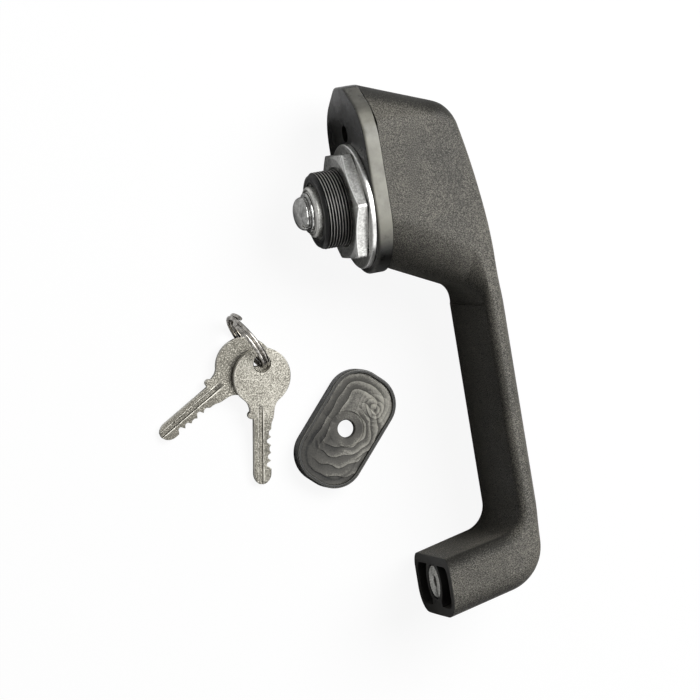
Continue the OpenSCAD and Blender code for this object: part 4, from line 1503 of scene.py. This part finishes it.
@dataclass
class FootPad:
    """Loose tray for the foot's end: a thin rim round a floor that shows how its mould was milled.

    Shells, fan and swirl are sets of arcs on the floor: the two places of their middle and their pitch.
    """

    size: Span = (22.0, 38.6)
    corner_r: float = 9.4
    floor_t: float = 5.0
    rim_h: float = 0.8
    rim_w: float = 1.2
    hole_r: float = 2.75
    hole_l: float = 1.8
    relief_r: float = 5.0
    spot_r: float = 5.7
    spot_depth: float = 0.3
    centre: Triple = (-10.6, -69.3, -20.0)
    turn: float = -42.0
    relief: float = 0.16
    shells: Triple = (0.6, 0.2, 1.9)
    fan: Triple = (-2.5, -1.0, 3.1)
    swirl: Triple = (4.6, 10.2, 1.5)
    terrace_mm: float = 2.5
    floor_rows: int = 110
    plain_rows: int = 3
    count: int = 360

    def outline(self, inset: float) -> Array:
        """Gives a rectangle with round corners, moved inwards, one point for each direction.

        Along direction (c, s) the ray meets a straight side or a corner circle. Both are
        found, and the corner's is taken where the ray passes beyond the sides' ends.

        Args:
            inset: distance inwards from the tray's outside.

        Returns:
            The points in order, about the tray's middle.
        """
        a = np.linspace(0, 2 * np.pi, self.count, endpoint=False)
        c, s = np.cos(a), np.sin(a)
        half = np.array(self.size) / 2 - inset
        r = max(self.corner_r - inset, 0.1)
        box = np.minimum(half[0] / np.maximum(np.abs(c), 1e-9), half[1] / np.maximum(np.abs(s), 1e-9))
        core = half - r
        across, gap = np.abs(c) * core[0] + np.abs(s) * core[1], core @ core - r * r
        arc = across + np.sqrt(np.maximum(across**2 - gap, 0))
        in_corner = (np.abs(c) * arc > core[0]) & (np.abs(s) * arc > core[1])
        reach = np.where(in_corner, arc, box)
        return np.stack([reach * c, reach * s], axis=-1)

    def marks(self, flat: Array) -> tuple[Array, Array]:
        """Gives the marks that the mould's cutter left on the floor, and the painted light on them.

        Terraces follow the wall on the left and round the top, a saw of the distance from it.
        Shells lie round the hole on the right, a fan of arcs lies below it and a small swirl
        above, each a saw of the distance from its own middle. Faint facets of painted light turn about
        the hole. All wander with a slow sum of sines.

        Args:
            flat: places on the floor, across and along the tray.

        Returns:
            The tone, painted light from 0, painted shade, to 1, painted highlight, and the height in parts
            of the relief.
        """
        s, t = flat[..., 0], flat[..., 1]
        stray = 0.5 * np.sin(0.55 * s + 0.9 * t) + 0.35 * np.sin(1.3 * s - 0.4 * t + 1)
        box = np.abs(flat) - (np.array(self.size) / 2 - self.corner_r)
        outside = np.linalg.norm(np.maximum(box, 0), axis=-1) + np.minimum(box.max(axis=-1), 0)
        wall = self.corner_r - outside - self.rim_w + 0.3 * stray

        def saw(x: float, y: float, pitch: float) -> tuple[Array, Array]:
            """Gives a saw about a middle, from -1/2 to 1/2, and the distance from it."""
            away = np.hypot(s - x, t - y)
            return np.mod((away + 0.6 * stray) / pitch, 1) - 0.5, away

        shell, from_hole = saw(*self.shells)
        fan, _ = saw(*self.fan)
        swirl, from_swirl = saw(*self.swirl)
        # Where each kind of mark lies
        left = step(2.5 - s + 0.4 * (t - 4), 1.5) * step(t + 9, 2.5) * step(from_hole - 5.4, 0.6)
        on_right = step(s - 0.5, 1.0) * step(t + 6, 1.2) * step(11.2 - from_hole, 0.6)
        below = step(s + 3.5, 1.5) * step(-5.2 - t, 1.0)
        near_swirl = ridge(from_swirl, 4.6)
        # The marks themselves
        terrace = (0.5 - np.mod(wall / self.terrace_mm, 1)) * left * step(6.8 - wall, 0.3)
        chatter = ridge(np.hypot(s + 5.2, t + 8.6), 1.5) * np.sin(3.1 * s + 2.3 * t)
        around = np.sin(2.5 * np.arctan2(t, s) + 0.35 * from_hole + 0.8)
        facet = np.tanh(6 * around) * step(from_hole - self.spot_r, 0.2)
        crescent = ridge(wall - 1.7, 0.35) * step(-t - 6, 1.5)
        shells, arcs, turns = shell * on_right, fan * below, swirl * near_swirl
        # How high they stand, and their tone, which is all painted light: a painted reflection that pales
        # along and across the floor, and painted shade and highlight on the steps, facets and crescent
        cuts = 0.55 * terrace + 0.5 * shells + 0.45 * arcs + 0.55 * turns
        tone = 0.47 + 0.013 * t + 0.018 * s + cuts + 0.06 * facet - 0.2 * crescent + 0.22 * chatter
        tone = tone + 0.05 * np.sin(4.2 * from_hole) * step(self.spot_r - from_hole, 0.2)
        height = 0.9 * terrace + 1.4 * (shells + arcs + turns) + 0.4 * chatter - 0.3
        return np.clip(tone, 0, 1), np.clip(height, -1, 0.6)

    def grid(self) -> tuple[Array, Array, Array]:
        """Carries a profile round the tray.

        From the hole's top edge it crosses the floor, climbs the rim, goes down the outside,
        under the tray and up a wider recess to the hole. A row is an outline at its own inset, or a
        mix of the hole's circle and that outline. The marks raise and lower the floor.

        Returns:
            The points, the tone of each, which is painted light on the floor, and the painted highlight of
            each, along the rim's edges.
        """
        circle = polar(1.0, np.linspace(0, 360, self.count, endpoint=False))
        top, floor = self.floor_t + self.rim_h, self.floor_t
        rim = self.outline(self.rim_w)
        spot = floor - self.spot_depth
        # Outline, height and painted highlight of each row
        rows = [
            (circle * self.hole_r, spot - 0.3, 0),
            (circle * (self.hole_r + 0.3), spot, 0),
            (circle * (self.spot_r - 0.8), spot + 0.02, 0),
            (circle * (self.spot_r - 0.15), spot + 0.05, 0),
            (circle * self.spot_r, floor - 0.03, 0),
        ]
        first = len(rows)
        shares = np.linspace(0.02, 0.99, self.floor_rows)
        rows += [(circle * self.spot_r * (1 - q) + rim * q, floor, 0) for q in shares]
        last = len(rows) - self.plain_rows
        rows += [
            (rim, floor + 0.1, 0),
            (self.outline(self.rim_w - 0.05), top - 0.2, 0),
            (self.outline(self.rim_w - 0.2), top - 0.02, 0.2),
            (self.outline(self.rim_w - 0.4), top, 0),
            (self.outline(0.45), top, 0),
            (self.outline(0.2), top - 0.05, 0.45),
            (self.outline(0.04), top - 0.3, 0.15),
            (self.outline(0.0), top - 0.6, 0),
            (self.outline(0.0), 0.7, 0),
            (self.outline(0.2), 0.2, 0),
            (self.outline(0.7), 0.0, 0),
            (circle * (self.relief_r + 0.2), 0.0, 0),
            (circle * self.relief_r, 0.2, 0),
            (circle * self.relief_r, spot - self.hole_l, 0),
            (circle * self.hole_r, spot - self.hole_l, 0),
        ]
        flat = np.stack([row[0] for row in rows])
        height, painted_sheen = (
            np.broadcast_to(np.array([row[k] for row in rows], float)[:, None], flat.shape[:2])
            for k in (1, 2)
        )
        tone, raised = self.marks(flat)
        on_floor = np.zeros((len(rows), 1))
        on_floor[first:last] = 1
        height = height + self.relief * raised * on_floor
        c, s = np.cos(np.radians(self.turn)), np.sin(np.radians(self.turn))
        turned = flat @ np.array([[c, s], [-s, c]])
        return np.concatenate([turned, height[..., None]], axis=-1) + np.array(self.centre), tone, painted_sheen

    def build(self, palette: Palette) -> None:
        """Makes the tray, gives its floor the milled finish with painted light and dresses it.

        Args:
            palette: the finishes of the set.
        """
        points, tone, painted_sheen = self.grid()
        piece = mesh_object("foot_tray", points, Ends.JOINED, 30, {"tone": tone, "painted_highlight": painted_sheen})
        piece.data.materials.append(palette["black_plastic"])
        piece.data.materials.append(palette["tray_floor"])
        faces = len(piece.data.polygons)
        middles, ups = np.zeros(faces * 3), np.zeros(faces * 3)
        piece.data.polygons.foreach_get("center", middles)
        piece.data.polygons.foreach_get("normal", ups)
        level = middles[2::3] / MM - self.centre[2]
        # The floor is every face that looks up and lies below the rim
        floor = (ups[2::3] > 0.3) & (level < self.floor_t + 0.2) & (level > 1)
        piece.data.polygons.foreach_set("material_index", floor.astype(np.int32))
        fit_out(piece, "foot_pad", "foot_pad", "black_plastic", palette)


@dataclass
class KeySet:
    """Two flat keys on a split ring of two turns.

    The lug is its height, its place above the neck's end and half its length. The groove fades from a
    place above the neck's end over a length. The edge's roll is its width and its height, and its
    highlight the strength and the width of the painted highlight along it. Each key has its own share
    of painted shade, and the blade more painted shade. Seats are angles on the ring and turns are
    angles on the table, one for each key.
    """

    ring_r: float = 9.2
    wire_r: float = 0.65
    wire_end: float = 0.82
    ring_pitch: float = 1.36
    ring_at: Triple = (-38.7, -36.3, -10.1)
    ring_turn: float = -62.6
    ring_split: float = 147.0
    bow_r: float = 9.2
    hole_r: float = 2.7
    hole_y: float = 4.3
    hole_bevel: float = 0.25
    neck_l: float = 12.9
    neck_w: float = 7.4
    flare_y: float = -7.0
    flare_l: float = 1.5
    lug: Triple = (0.9, 0.9, 1.1)
    blade_l: float = 21.2
    blade_w: float = 5.6
    tip_l: float = 2.4
    tip_drift: float = 0.3
    thick: float = 2.0
    rest: float = 0.1
    cuts: tuple[float, ...] = (0.9, 1.6, 0.7, 1.3, 1.7)
    cut_first: float = 5.0
    cut_pitch: float = 2.5
    cut_half: float = 1.5
    cut_slope: float = 1.2
    cut_share: float = 0.85
    groove_x: Span = (-1.2, 0.1)
    groove_depth: float = 0.55
    groove_lip: float = 0.12
    groove_slope: float = 0.16
    groove_fade: Span = (4.0, 3.0)
    groove_room: float = 2.4
    edge_roll: Span = (0.25, 0.22)
    edge_highlight: Span = (0.8, 0.22)
    shaded: Span = (0.2, 0.0)
    blade_shade: float = 0.16
    seats: Span = (44.8, 20.3)
    turns: Span = (-59.7, -7.0)
    table_z: float = -20.0

    def ring_grid(self) -> Array:
        """Carries a round wire along a helix.

        The middle of the wire is (R cos a, R sin a, pitch a / 360), stood on edge and turned. The
        wire thins at both ends, where its edge was broken.

        Returns:
            The points, one row for each place along the wire.
        """
        rows = np.arange(241)
        a = np.radians(np.linspace(0, 720, len(rows)))
        side = np.radians(np.linspace(0, 360, 20, endpoint=False))
        from_end = np.minimum(rows, rows[::-1])
        thin = np.clip(self.wire_end + (1 - self.wire_end) * from_end / 2, 0, 1)[:, None]
        out = self.ring_r + self.wire_r * thin * np.cos(side)
        x, y = out * np.cos(a)[:, None], out * np.sin(a)[:, None]
        climb = self.ring_pitch * (a / (2 * np.pi) - 1)
        z = climb[:, None] + self.wire_r * thin * np.sin(side)
        split, turn = np.radians(self.ring_split), np.radians(self.ring_turn)
        u, w = x * np.cos(split) - y * np.sin(split), x * np.sin(split) + y * np.cos(split)
        px = u * np.cos(turn) + z * np.sin(turn)
        py = u * np.sin(turn) - z * np.cos(turn)
        return np.stack([px, py, w], axis=-1) + np.array(self.ring_at)

    def edges(self, y: Array) -> tuple[Array, Array]:
        """Gives the left and the right edge of a key at each height.

        The bow is a circle, the neck flares out of it with a round, a round lug stands on the
        left below it, and the blade's right edge is cut by a smooth dip for each wafer.

        Args:
            y: heights from the bow's middle, the blade pointing down.

        Returns:
            X of the left and of the right edge.
        """
        neck, blade = self.neck_w / 2, self.blade_w / 2
        bow = np.sqrt(np.maximum(self.bow_r**2 - y**2, 0))
        below = self.flare_y - y
        wide = np.sqrt(self.bow_r**2 - self.flare_y**2)
        flare = neck + (wide - neck) * np.exp(-below / self.flare_l)
        upper = np.where(below < 0, bow, np.maximum(flare, neck))
        join, late = step(y + self.neck_l, 0.3), step(y + self.neck_l + 1, 1.1)
        side = upper * join + blade * (1 - join)
        shoulder = upper * late + blade * (1 - late)
        middles = -self.neck_l - self.cut_first - self.cut_pitch * np.arange(len(self.cuts))
        slope = np.clip((self.cut_half - np.abs(y[:, None] - middles)) / self.cut_slope, 0, 1)
        dip = (self.cut_share * np.array(self.cuts) * slope**2 * (3 - 2 * slope)).max(axis=1)
        lug_h, lug_y, lug_half = self.lug
        lug = lug_h * np.sqrt(np.maximum(1 - ((y + self.neck_l - lug_y) / lug_half) ** 2, 0))
        left = np.maximum(side, (neck + lug) * (lug > 0))
        tip = np.clip((y + self.neck_l + self.blade_l) / (1.5 * self.tip_l), 0, 1)
        shrink = np.sqrt(np.clip(1 - (1 - tip) ** 2, 0, 1))
        drift = self.tip_drift * (1 - shrink)
        return -left * shrink - drift, (shoulder - dip) * shrink - drift

    def key_grid(self) -> tuple[Array, Array, Array]:
        """Gives a key that lies flat.

        Columns run across from the left edge to the right, close together over the groove. The
        face stands at half the thickness, less a groove that fades out in the neck, and rolls
        off near each edge. The back is the same with Z turned over.

        Returns:
            The points, the painted highlight of each, which is greatest along edges and the groove's lips,
            and the share of each in the blade, which gets more painted shade.
        """
        low = -self.neck_l - self.blade_l
        bow = self.flare_y + (self.bow_r - self.flare_y) * np.sin(np.radians(np.linspace(0, 90, 60)))
        point = low + self.tip_l * (1 - np.cos(np.radians(np.linspace(0, 90, 14))))
        y = np.concatenate([point, np.linspace(low + self.tip_l + 0.1, self.flare_y - 0.05, 190), bow])
        left, right = (edge[:, None] for edge in self.edges(y))
        reach = np.clip(np.minimum(-left, right) / self.groove_room, 0, 1)
        fine, coarse = np.linspace(0, 0.12, 5, endpoint=False), np.linspace(0.12, 1, 8, endpoint=False)
        q = np.concatenate([fine, coarse])[None]
        (start, end), lip = self.groove_x, self.groove_lip
        groove = np.linspace(start - lip, end + lip, 17)[None] * reach
        x = np.hstack(
            [left + (groove[:, :1] - left) * q, groove, right + (groove[:, -1:] - right) * q[:, ::-1]]
        )
        near = np.minimum(x - left, right - x)
        roll_w, roll_h = self.edge_roll
        roll = roll_h * (1 - np.sqrt(np.clip(1 - (1 - np.clip(near / roll_w, 0, 1)) ** 2, 0, 1)))
        inside = (end - start) / 2 + lip / 2 - np.abs(x - (start + end) / 2)
        fade_y, fade_l = self.groove_fade
        runout = np.clip((fade_y - self.neck_l - y) / fade_l, 0, 1)[:, None]
        sunk = self.groove_depth * np.clip(inside / self.groove_slope, 0, 1) * runout
        face = self.thick / 2 - roll - sunk
        glint, glint_w = self.edge_highlight
        # Painted highlight along the edges and on the groove's lips
        painted_sheen = np.maximum(glint * np.clip(1 - near / glint_w, 0, 1), ridge(inside + 0.03, 0.07) * runout)
        flat = np.broadcast_to(y[:, None], x.shape)
        front = np.stack([x, flat, face], axis=-1)
        back = np.stack([x, flat, -face], axis=-1)[:, ::-1]
        points = np.concatenate([front, back], axis=1)
        in_blade = np.broadcast_to(step(-self.neck_l - points[..., 1], 1.5), points.shape[:2])
        return points, np.concatenate([painted_sheen, painted_sheen[:, ::-1]], axis=1), in_blade

    def place(self, points: Array, k: int) -> Array:
        """Hangs a key on the ring: tilted about its hole until its tip rests on the table, and turned.

        Args:
            points: points of a key that lies flat about its bow's middle.
            k: 0 for the first key, 1 for the second.

        Returns:
            The points where the key lies.
        """
        seat, turn = np.radians(self.seats[k]), np.radians(self.turns[k])
        ring = np.radians(self.ring_turn)
        hole = np.array(self.ring_at) + self.ring_r * np.array(
            [np.cos(seat) * np.cos(ring), np.cos(seat) * np.sin(ring), -np.sin(seat)]
        )
        reach = self.hole_y + self.neck_l + self.blade_l
        tilt = np.arcsin((hole[2] - self.table_z - self.thick / 2 - self.rest) / reach)
        lean = np.array([[1, 0, 0], [0, np.cos(tilt), -np.sin(tilt)], [0, np.sin(tilt), np.cos(tilt)]])
        spin = np.array([[np.cos(turn), -np.sin(turn), 0], [np.sin(turn), np.cos(turn), 0], [0, 0, 1]])
        return (points - np.array([0, self.hole_y, 0])) @ (spin @ lean).T + hole

    def hole_cutter(self, k: int) -> Piece:
        """Gives the bar that cuts a key's hole, flared at both ends to bevel its edges.

        Args:
            k: 0 for the first key, 1 for the second.

        Returns:
            The solid to take away.
        """
        r, face = self.hole_r, self.thick / 2 - self.hole_bevel
        profile = np.array([[-self.thick, r + 1.0], [-face, r], [face, r], [self.thick, r + 1.0]])
        bar = lathe(profile, (self.hole_y, 0), 64)
        return mesh_object("cut_key_hole", self.place(bar[..., [2, 1, 0]], k), Ends.CAPPED)

    def build(self, palette: Palette) -> None:
        """Makes the ring and both keys and dresses them.

        Args:
            palette: the finishes of the set.
        """
        ring = mesh_object("split_ring", self.ring_grid(), Ends.CAPPED, 50)
        fit_out(ring, "key_ring", "key_ring", "ring_steel", palette)
        points, painted_sheen, in_blade = self.key_grid()
        for k, (node, name) in enumerate((("key_1", "lower_key"), ("key_2", "upper_key"))):
            # Painted highlights on edges and groove lips, painted shade on the lower key and more over each
            # blade
            marks = {"painted_highlight": painted_sheen, "painted_shade": self.shaded[k] + self.blade_shade * in_blade}
            piece = mesh_object(name, self.place(points, k), Ends.CAPPED, 30, marks)
            cut_away(piece, [self.hole_cutter(k)], 30)
            fit_out(piece, node, node, "key_nickel", palette)


@dataclass
class LockFace:
    """Front of the lock: bezel ring, push button and the keyed plug in it.

    Places along the axis run from back to front. So do the radii of the button and the plug, and the
    bezel's are its hole and its rim.
    """

    bezel_x: Span = (31.0, 33.2)
    bezel_r: Span = (10.26, 13.45)
    button_x: Triple = (17.0, 30.9, 36.5)
    button_r: Span = (10.92, 10.1)
    seal_x: Span = (27.65, 29.35)
    seal_r: float = 9.4
    plug_x: tuple[float, float, float, float] = (12.4, 14.5, 34.8, 36.2)
    plug_r: Triple = (2.0, 6.45, 7.4)
    plug_middle_r: float = 4.4
    clip_x: Span = (15.95, 16.95)
    clip_r: float = 5.5
    keyway: Span = (6.2, 2.4)
    keyway_end: float = 14.8
    keyway_flare: float = 0.9
    wafer_slot: Span = (1.0, 6.3)
    wafer_first: float = 5.0
    wafer_pitch: float = 2.5
    wafer_count: int = 5
    play: float = 0.05

    def bezel_grid(self) -> Array:
        """Turns the bezel, a ring with a broad round on its outer edge and a small one inside.

        Returns:
            The points, one row for each point of its profile.
        """
        (back, front), (hole, rim) = self.bezel_x, self.bezel_r
        corners = [[back, hole], [back, rim], [front, rim], [front, hole]]
        return lathe(soften(corners, [0.1, 0.1, 0.9, 0.35], 8), around=160)

    def button_grid(self) -> Array:
        """Turns the button: guide shoulder, seal groove, rounded crown and a seat for the plug.

        Returns:
            The points, from the back over the outside and back through the bore.
        """
        (back, shoulder, front), (guide, crown) = self.button_x, self.button_r
        bore, seat = self.plug_r[1] + self.play, self.plug_r[2] + 2 * self.play
        step_x = self.plug_x[2] - 2 * self.play
        (low, high), groove = self.seal_x, self.seal_r
        # Distance along the axis, radius and rounding of each corner
        corners = np.array(
            [
                [back, bore, 0.1],
                [back, guide, 0.4],
                [low, guide, 0.1],
                [low, groove, 0.1],
                [high, groove, 0.1],
                [high, guide, 0.1],
                [shoulder, guide, 0.2],
                [shoulder, crown, 0.1],
                [front, crown, 1.1],
                [front - 0.25, crown - 1.9, 0.8],
                [front, seat, 0.2],
                [step_x, seat, 0.1],
                [step_x, bore, 0.1],
            ]
        )
        return lathe(soften(corners[:, :2], corners[:, 2], 7), around=160)

    def plug_grid(self) -> Array:
        """Turns the plug: tang, body with a clip groove, and a head with a shallow ring in its face.

        Returns:
            The points, from the tang to the face.
        """
        tang_x, back, head, face = self.plug_x
        tang, body, rim = self.plug_r
        (low, high), groove = self.clip_x, self.clip_r
        profile = np.vstack(
            [
                [[tang_x, tang - 0.2], [tang_x + 0.2, tang], [back, tang]],
                [[back, body - 0.2], [back + 0.2, body]],
                [[low, body], [low, groove], [high, groove], [high, body]],
                [[head, body], [head, rim], [face - 0.3, rim], [face - 0.08, rim - 0.1]],
                [[face, rim - 0.35], [face, rim - 1.2], [face - 0.12, rim - 1.3]],
                [[face - 0.12, rim - 1.6], [face, rim - 1.7], [face, self.plug_middle_r]],
            ]
        )
        return lathe(profile, around=128)

    def slot_cutter(self, name: str, x: Sequence[float], size: Sequence[Sequence[float]]) -> Piece:
        """Gives a bar along X whose rectangle changes from row to row.

        Args:
            name: name of the cutter.
            x: place of each row.
            size: size of each row in Y and Z.

        Returns:
            The solid to take away.
        """
        square = np.array([[-0.5, -0.5], [0.5, -0.5], [0.5, 0.5], [-0.5, 0.5]])
        flat = square[None] * np.array(size)[:, None]
        along = np.broadcast_to(np.array(x)[:, None, None], flat.shape[:2] + (1,))
        return mesh_object(name, np.concatenate([along, flat], axis=-1), Ends.CAPPED)

    def plug_cutters(self) -> list[Piece]:
        """Gives the keyway, bevelled at its mouth, and a slot for each wafer.

        Returns:
            The solids to take away.
        """
        face = self.plug_x[3]
        high, wide = self.keyway
        flare = self.keyway_flare
        mouth = [(high, wide), (high, wide), (high + flare, wide + flare)]
        cutters = [self.slot_cutter("cut_keyway", (self.keyway_end, face - 0.3, face + 0.15), mouth)]
        thick, across = self.wafer_slot
        through = 4 * self.plug_r[1]
        for k in range(self.wafer_count):
            x = face - self.wafer_first - self.wafer_pitch * k
            span = (x - thick / 2, x + thick / 2)
            cutters.append(self.slot_cutter(f"cut_wafer_{k}", span, [(through, across)] * 2))
        return cutters

    def build(self, palette: Palette) -> None:
        """Makes the bezel, the button and the plug and dresses them.

        Args:
            palette: the finishes of the set.
        """
        bezel = mesh_object("button_bezel", self.bezel_grid(), Ends.JOINED, 34)
        fit_out(bezel, "handle", "bezel_ring", "black_steel", palette)
        button = mesh_object("crowned_button", self.button_grid(), Ends.JOINED, 34)
        fit_out(button, "button", "push_button", "button_plastic", palette)
        plug = mesh_object("keyed_plug", self.plug_grid(), Ends.CAPPED, 34)
        cut_away(plug, self.plug_cutters(), 34)
        fit_out(plug, "plug", "lock_plug", "lock_brass", palette)


@dataclass
class HiddenWorks:
    """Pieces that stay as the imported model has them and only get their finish."""

    slots: tuple[tuple[str, str], ...] = (
        ("locating_pin", "grey_steel"),
        ("end_cap_circlip", "grey_steel"),
        ("button_seal", "seal_rubber"),
        ("wafer_tumblers", "lock_brass"),
        ("plug_clip", "grey_steel"),
        ("drive_cam", "grey_steel"),
        ("plunger_rod", "grey_steel"),
        ("return_spring", "spring_steel"),
    )
    travel_mm: float = 5.0

    def dress(self, nodes: dict[str, Piece], palette: Palette) -> None:
        """Puts each node's finish into its material slots.

        Args:
            nodes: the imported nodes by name.
            palette: the finishes of the set.
        """
        for name, slot in self.slots:
            node = nodes[name]
            node.data.materials.clear()
            node.data.materials.append(palette[slot])
            LOG.info("%s: packed node in %s", name, slot)
        self.compress(nodes["return_spring"])

    def compress(self, spring: Piece) -> None:
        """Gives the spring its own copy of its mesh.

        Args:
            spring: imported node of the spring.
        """
        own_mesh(spring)


# Studio


def stand(axes: Array, at: Array) -> Matrix:
    """Gives the matrix that stands a lamp or camera at a place, along three axes."""
    return Matrix(np.block([[axes, at[:, None]], [np.zeros((1, 3)), np.ones((1, 1))]]))


@dataclass
class Lamp:
    """One square soft lamp, or a card that only shows in reflections, aimed at the middle of the set."""

    name: str
    at: Triple
    size: float
    watts: float
    mirror_only: bool = False
    aim: Triple = (0.0, -0.04, 0.0)

    def build(self) -> None:
        """Hangs the lamp and turns it to the middle of the set."""
        light = bpy.data.lights.new(self.name, "AREA")
        light.shape = "SQUARE"
        light.size = self.size
        light.energy = self.watts
        lamp = bpy.data.objects.new(self.name, light)
        lamp.visible_diffuse = not self.mirror_only
        bpy.context.scene.collection.objects.link(lamp)
        away = np.array(self.at) - np.array(self.aim)
        away = away / np.linalg.norm(away)
        side = np.cross([0.0, 1.0, 0.0], away)
        side = side / np.linalg.norm(side)
        axes = np.stack([side, np.cross(away, side), away], axis=-1)
        lamp.matrix_world = stand(axes, np.array(self.at))


@dataclass
class Studio:
    """White table, pale surroundings, soft lamps and the camera of the photograph.

    Toward points from the set to the camera, the roll is in radians, and the sky is its strength for
    diffuse light and then for the eye and reflections.
    """

    toward: Triple = (-0.28739, 0.08, 1.0)
    roll: float = -0.16398
    focal_px: float = 4440.2
    frame_px: float = 700.0
    sensor_mm: float = 36.0
    far_m: float = 50.0
    distance_mm: float = 1371.81
    shift_mm: Span = (1.929, 45.011)
    table_z_mm: float = -20.0
    table_half_m: float = 4.0
    sky: Span = (0.03, 0.6)
    lamps: tuple[Lamp, ...] = (
        Lamp("key_softbox", (0.57, 0.38, 0.92), 0.8, 14.2),
        Lamp("top_card", (0.32, -0.10, 1.1), 0.9, 6.8, mirror_only=True),
        Lamp("low_card", (0.35, -1.1, 0.55), 0.8, 2.6, mirror_only=True),
    )

    def camera(self) -> None:
        """Stands the camera where the photograph was taken: rolled about the line to the set."""
        back = np.array(self.toward) / np.linalg.norm(self.toward)
        level = np.cross([0.0, 1.0, 0.0], back)
        level = level / np.linalg.norm(level)
        upright = np.cross(back, level)
        right = np.cos(self.roll) * level + np.sin(self.roll) * upright
        up = -np.sin(self.roll) * level + np.cos(self.roll) * upright
        at = (-self.shift_mm[0] * right - self.shift_mm[1] * up + self.distance_mm * back) * MM
        lens = bpy.data.cameras.new("photo_camera")
        lens.sensor_width = self.sensor_mm
        lens.lens = self.focal_px * lens.sensor_width / self.frame_px
        lens.clip_end = self.far_m
        eye = bpy.data.objects.new("photo_camera", lens)
        bpy.context.scene.collection.objects.link(eye)
        axes = np.stack([right, up, back], axis=-1)
        eye.matrix_world = stand(axes, at)
        bpy.context.scene.camera = eye

    def table(self) -> None:
        """Lays the white table."""
        half, z = self.table_half_m, self.table_z_mm * MM
        mesh = bpy.data.meshes.new("white_table")
        corners = [(-half, -half, z), (half, -half, z), (half, half, z), (-half, half, z)]
        mesh.from_pydata(corners, [], [(0, 1, 2, 3)])
        table = bpy.data.objects.new("white_table", mesh)
        bpy.context.scene.collection.objects.link(table)
        mesh.materials.append(StudioFloor("white_table").make())

    def surroundings(self) -> None:
        """Sets a pale sky, dim to diffuse light."""
        world = bpy.data.worlds.new("pale_studio")
        world.use_nodes = True
        tree = world.node_tree
        camera, shiny = ray_kinds(tree)
        strength = spread(tree, combine(tree, "MAXIMUM", shiny, camera), (0.0, 1.0), self.sky)
        feed(tree, tree.nodes["Background"], {"Color": linear("#ffffff"), "Strength": strength})
        bpy.context.scene.world = world

    def build(self) -> None:
        """Sets up the table, the sky, the lamps and the camera."""
        scene = bpy.context.scene
        scene.view_settings.view_transform = "Standard"
        self.table()
        self.surroundings()
        for lamp in self.lamps:
            lamp.build()
        self.camera()
        LOG.info("studio: %d lamps", len(self.lamps))


def main() -> None:
    """Loads the frame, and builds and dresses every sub-assembly."""
    logging.basicConfig(level=logging.INFO, format="%(name)s %(message)s")
    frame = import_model()
    palette = Palette()
    Studio().build()
    Moulding().build(palette)
    HeadPad().build(palette)
    LockHousing().build(palette)
    ClampSet().build(palette)
    PlungerEnd().build(palette)
    FootInsert().build(palette)
    FootPad().build(palette)
    KeySet().build(palette)
    LockFace().build(palette)
    HiddenWorks().dress(frame["nodes"], palette)


if __name__ == "__main__":
    main()
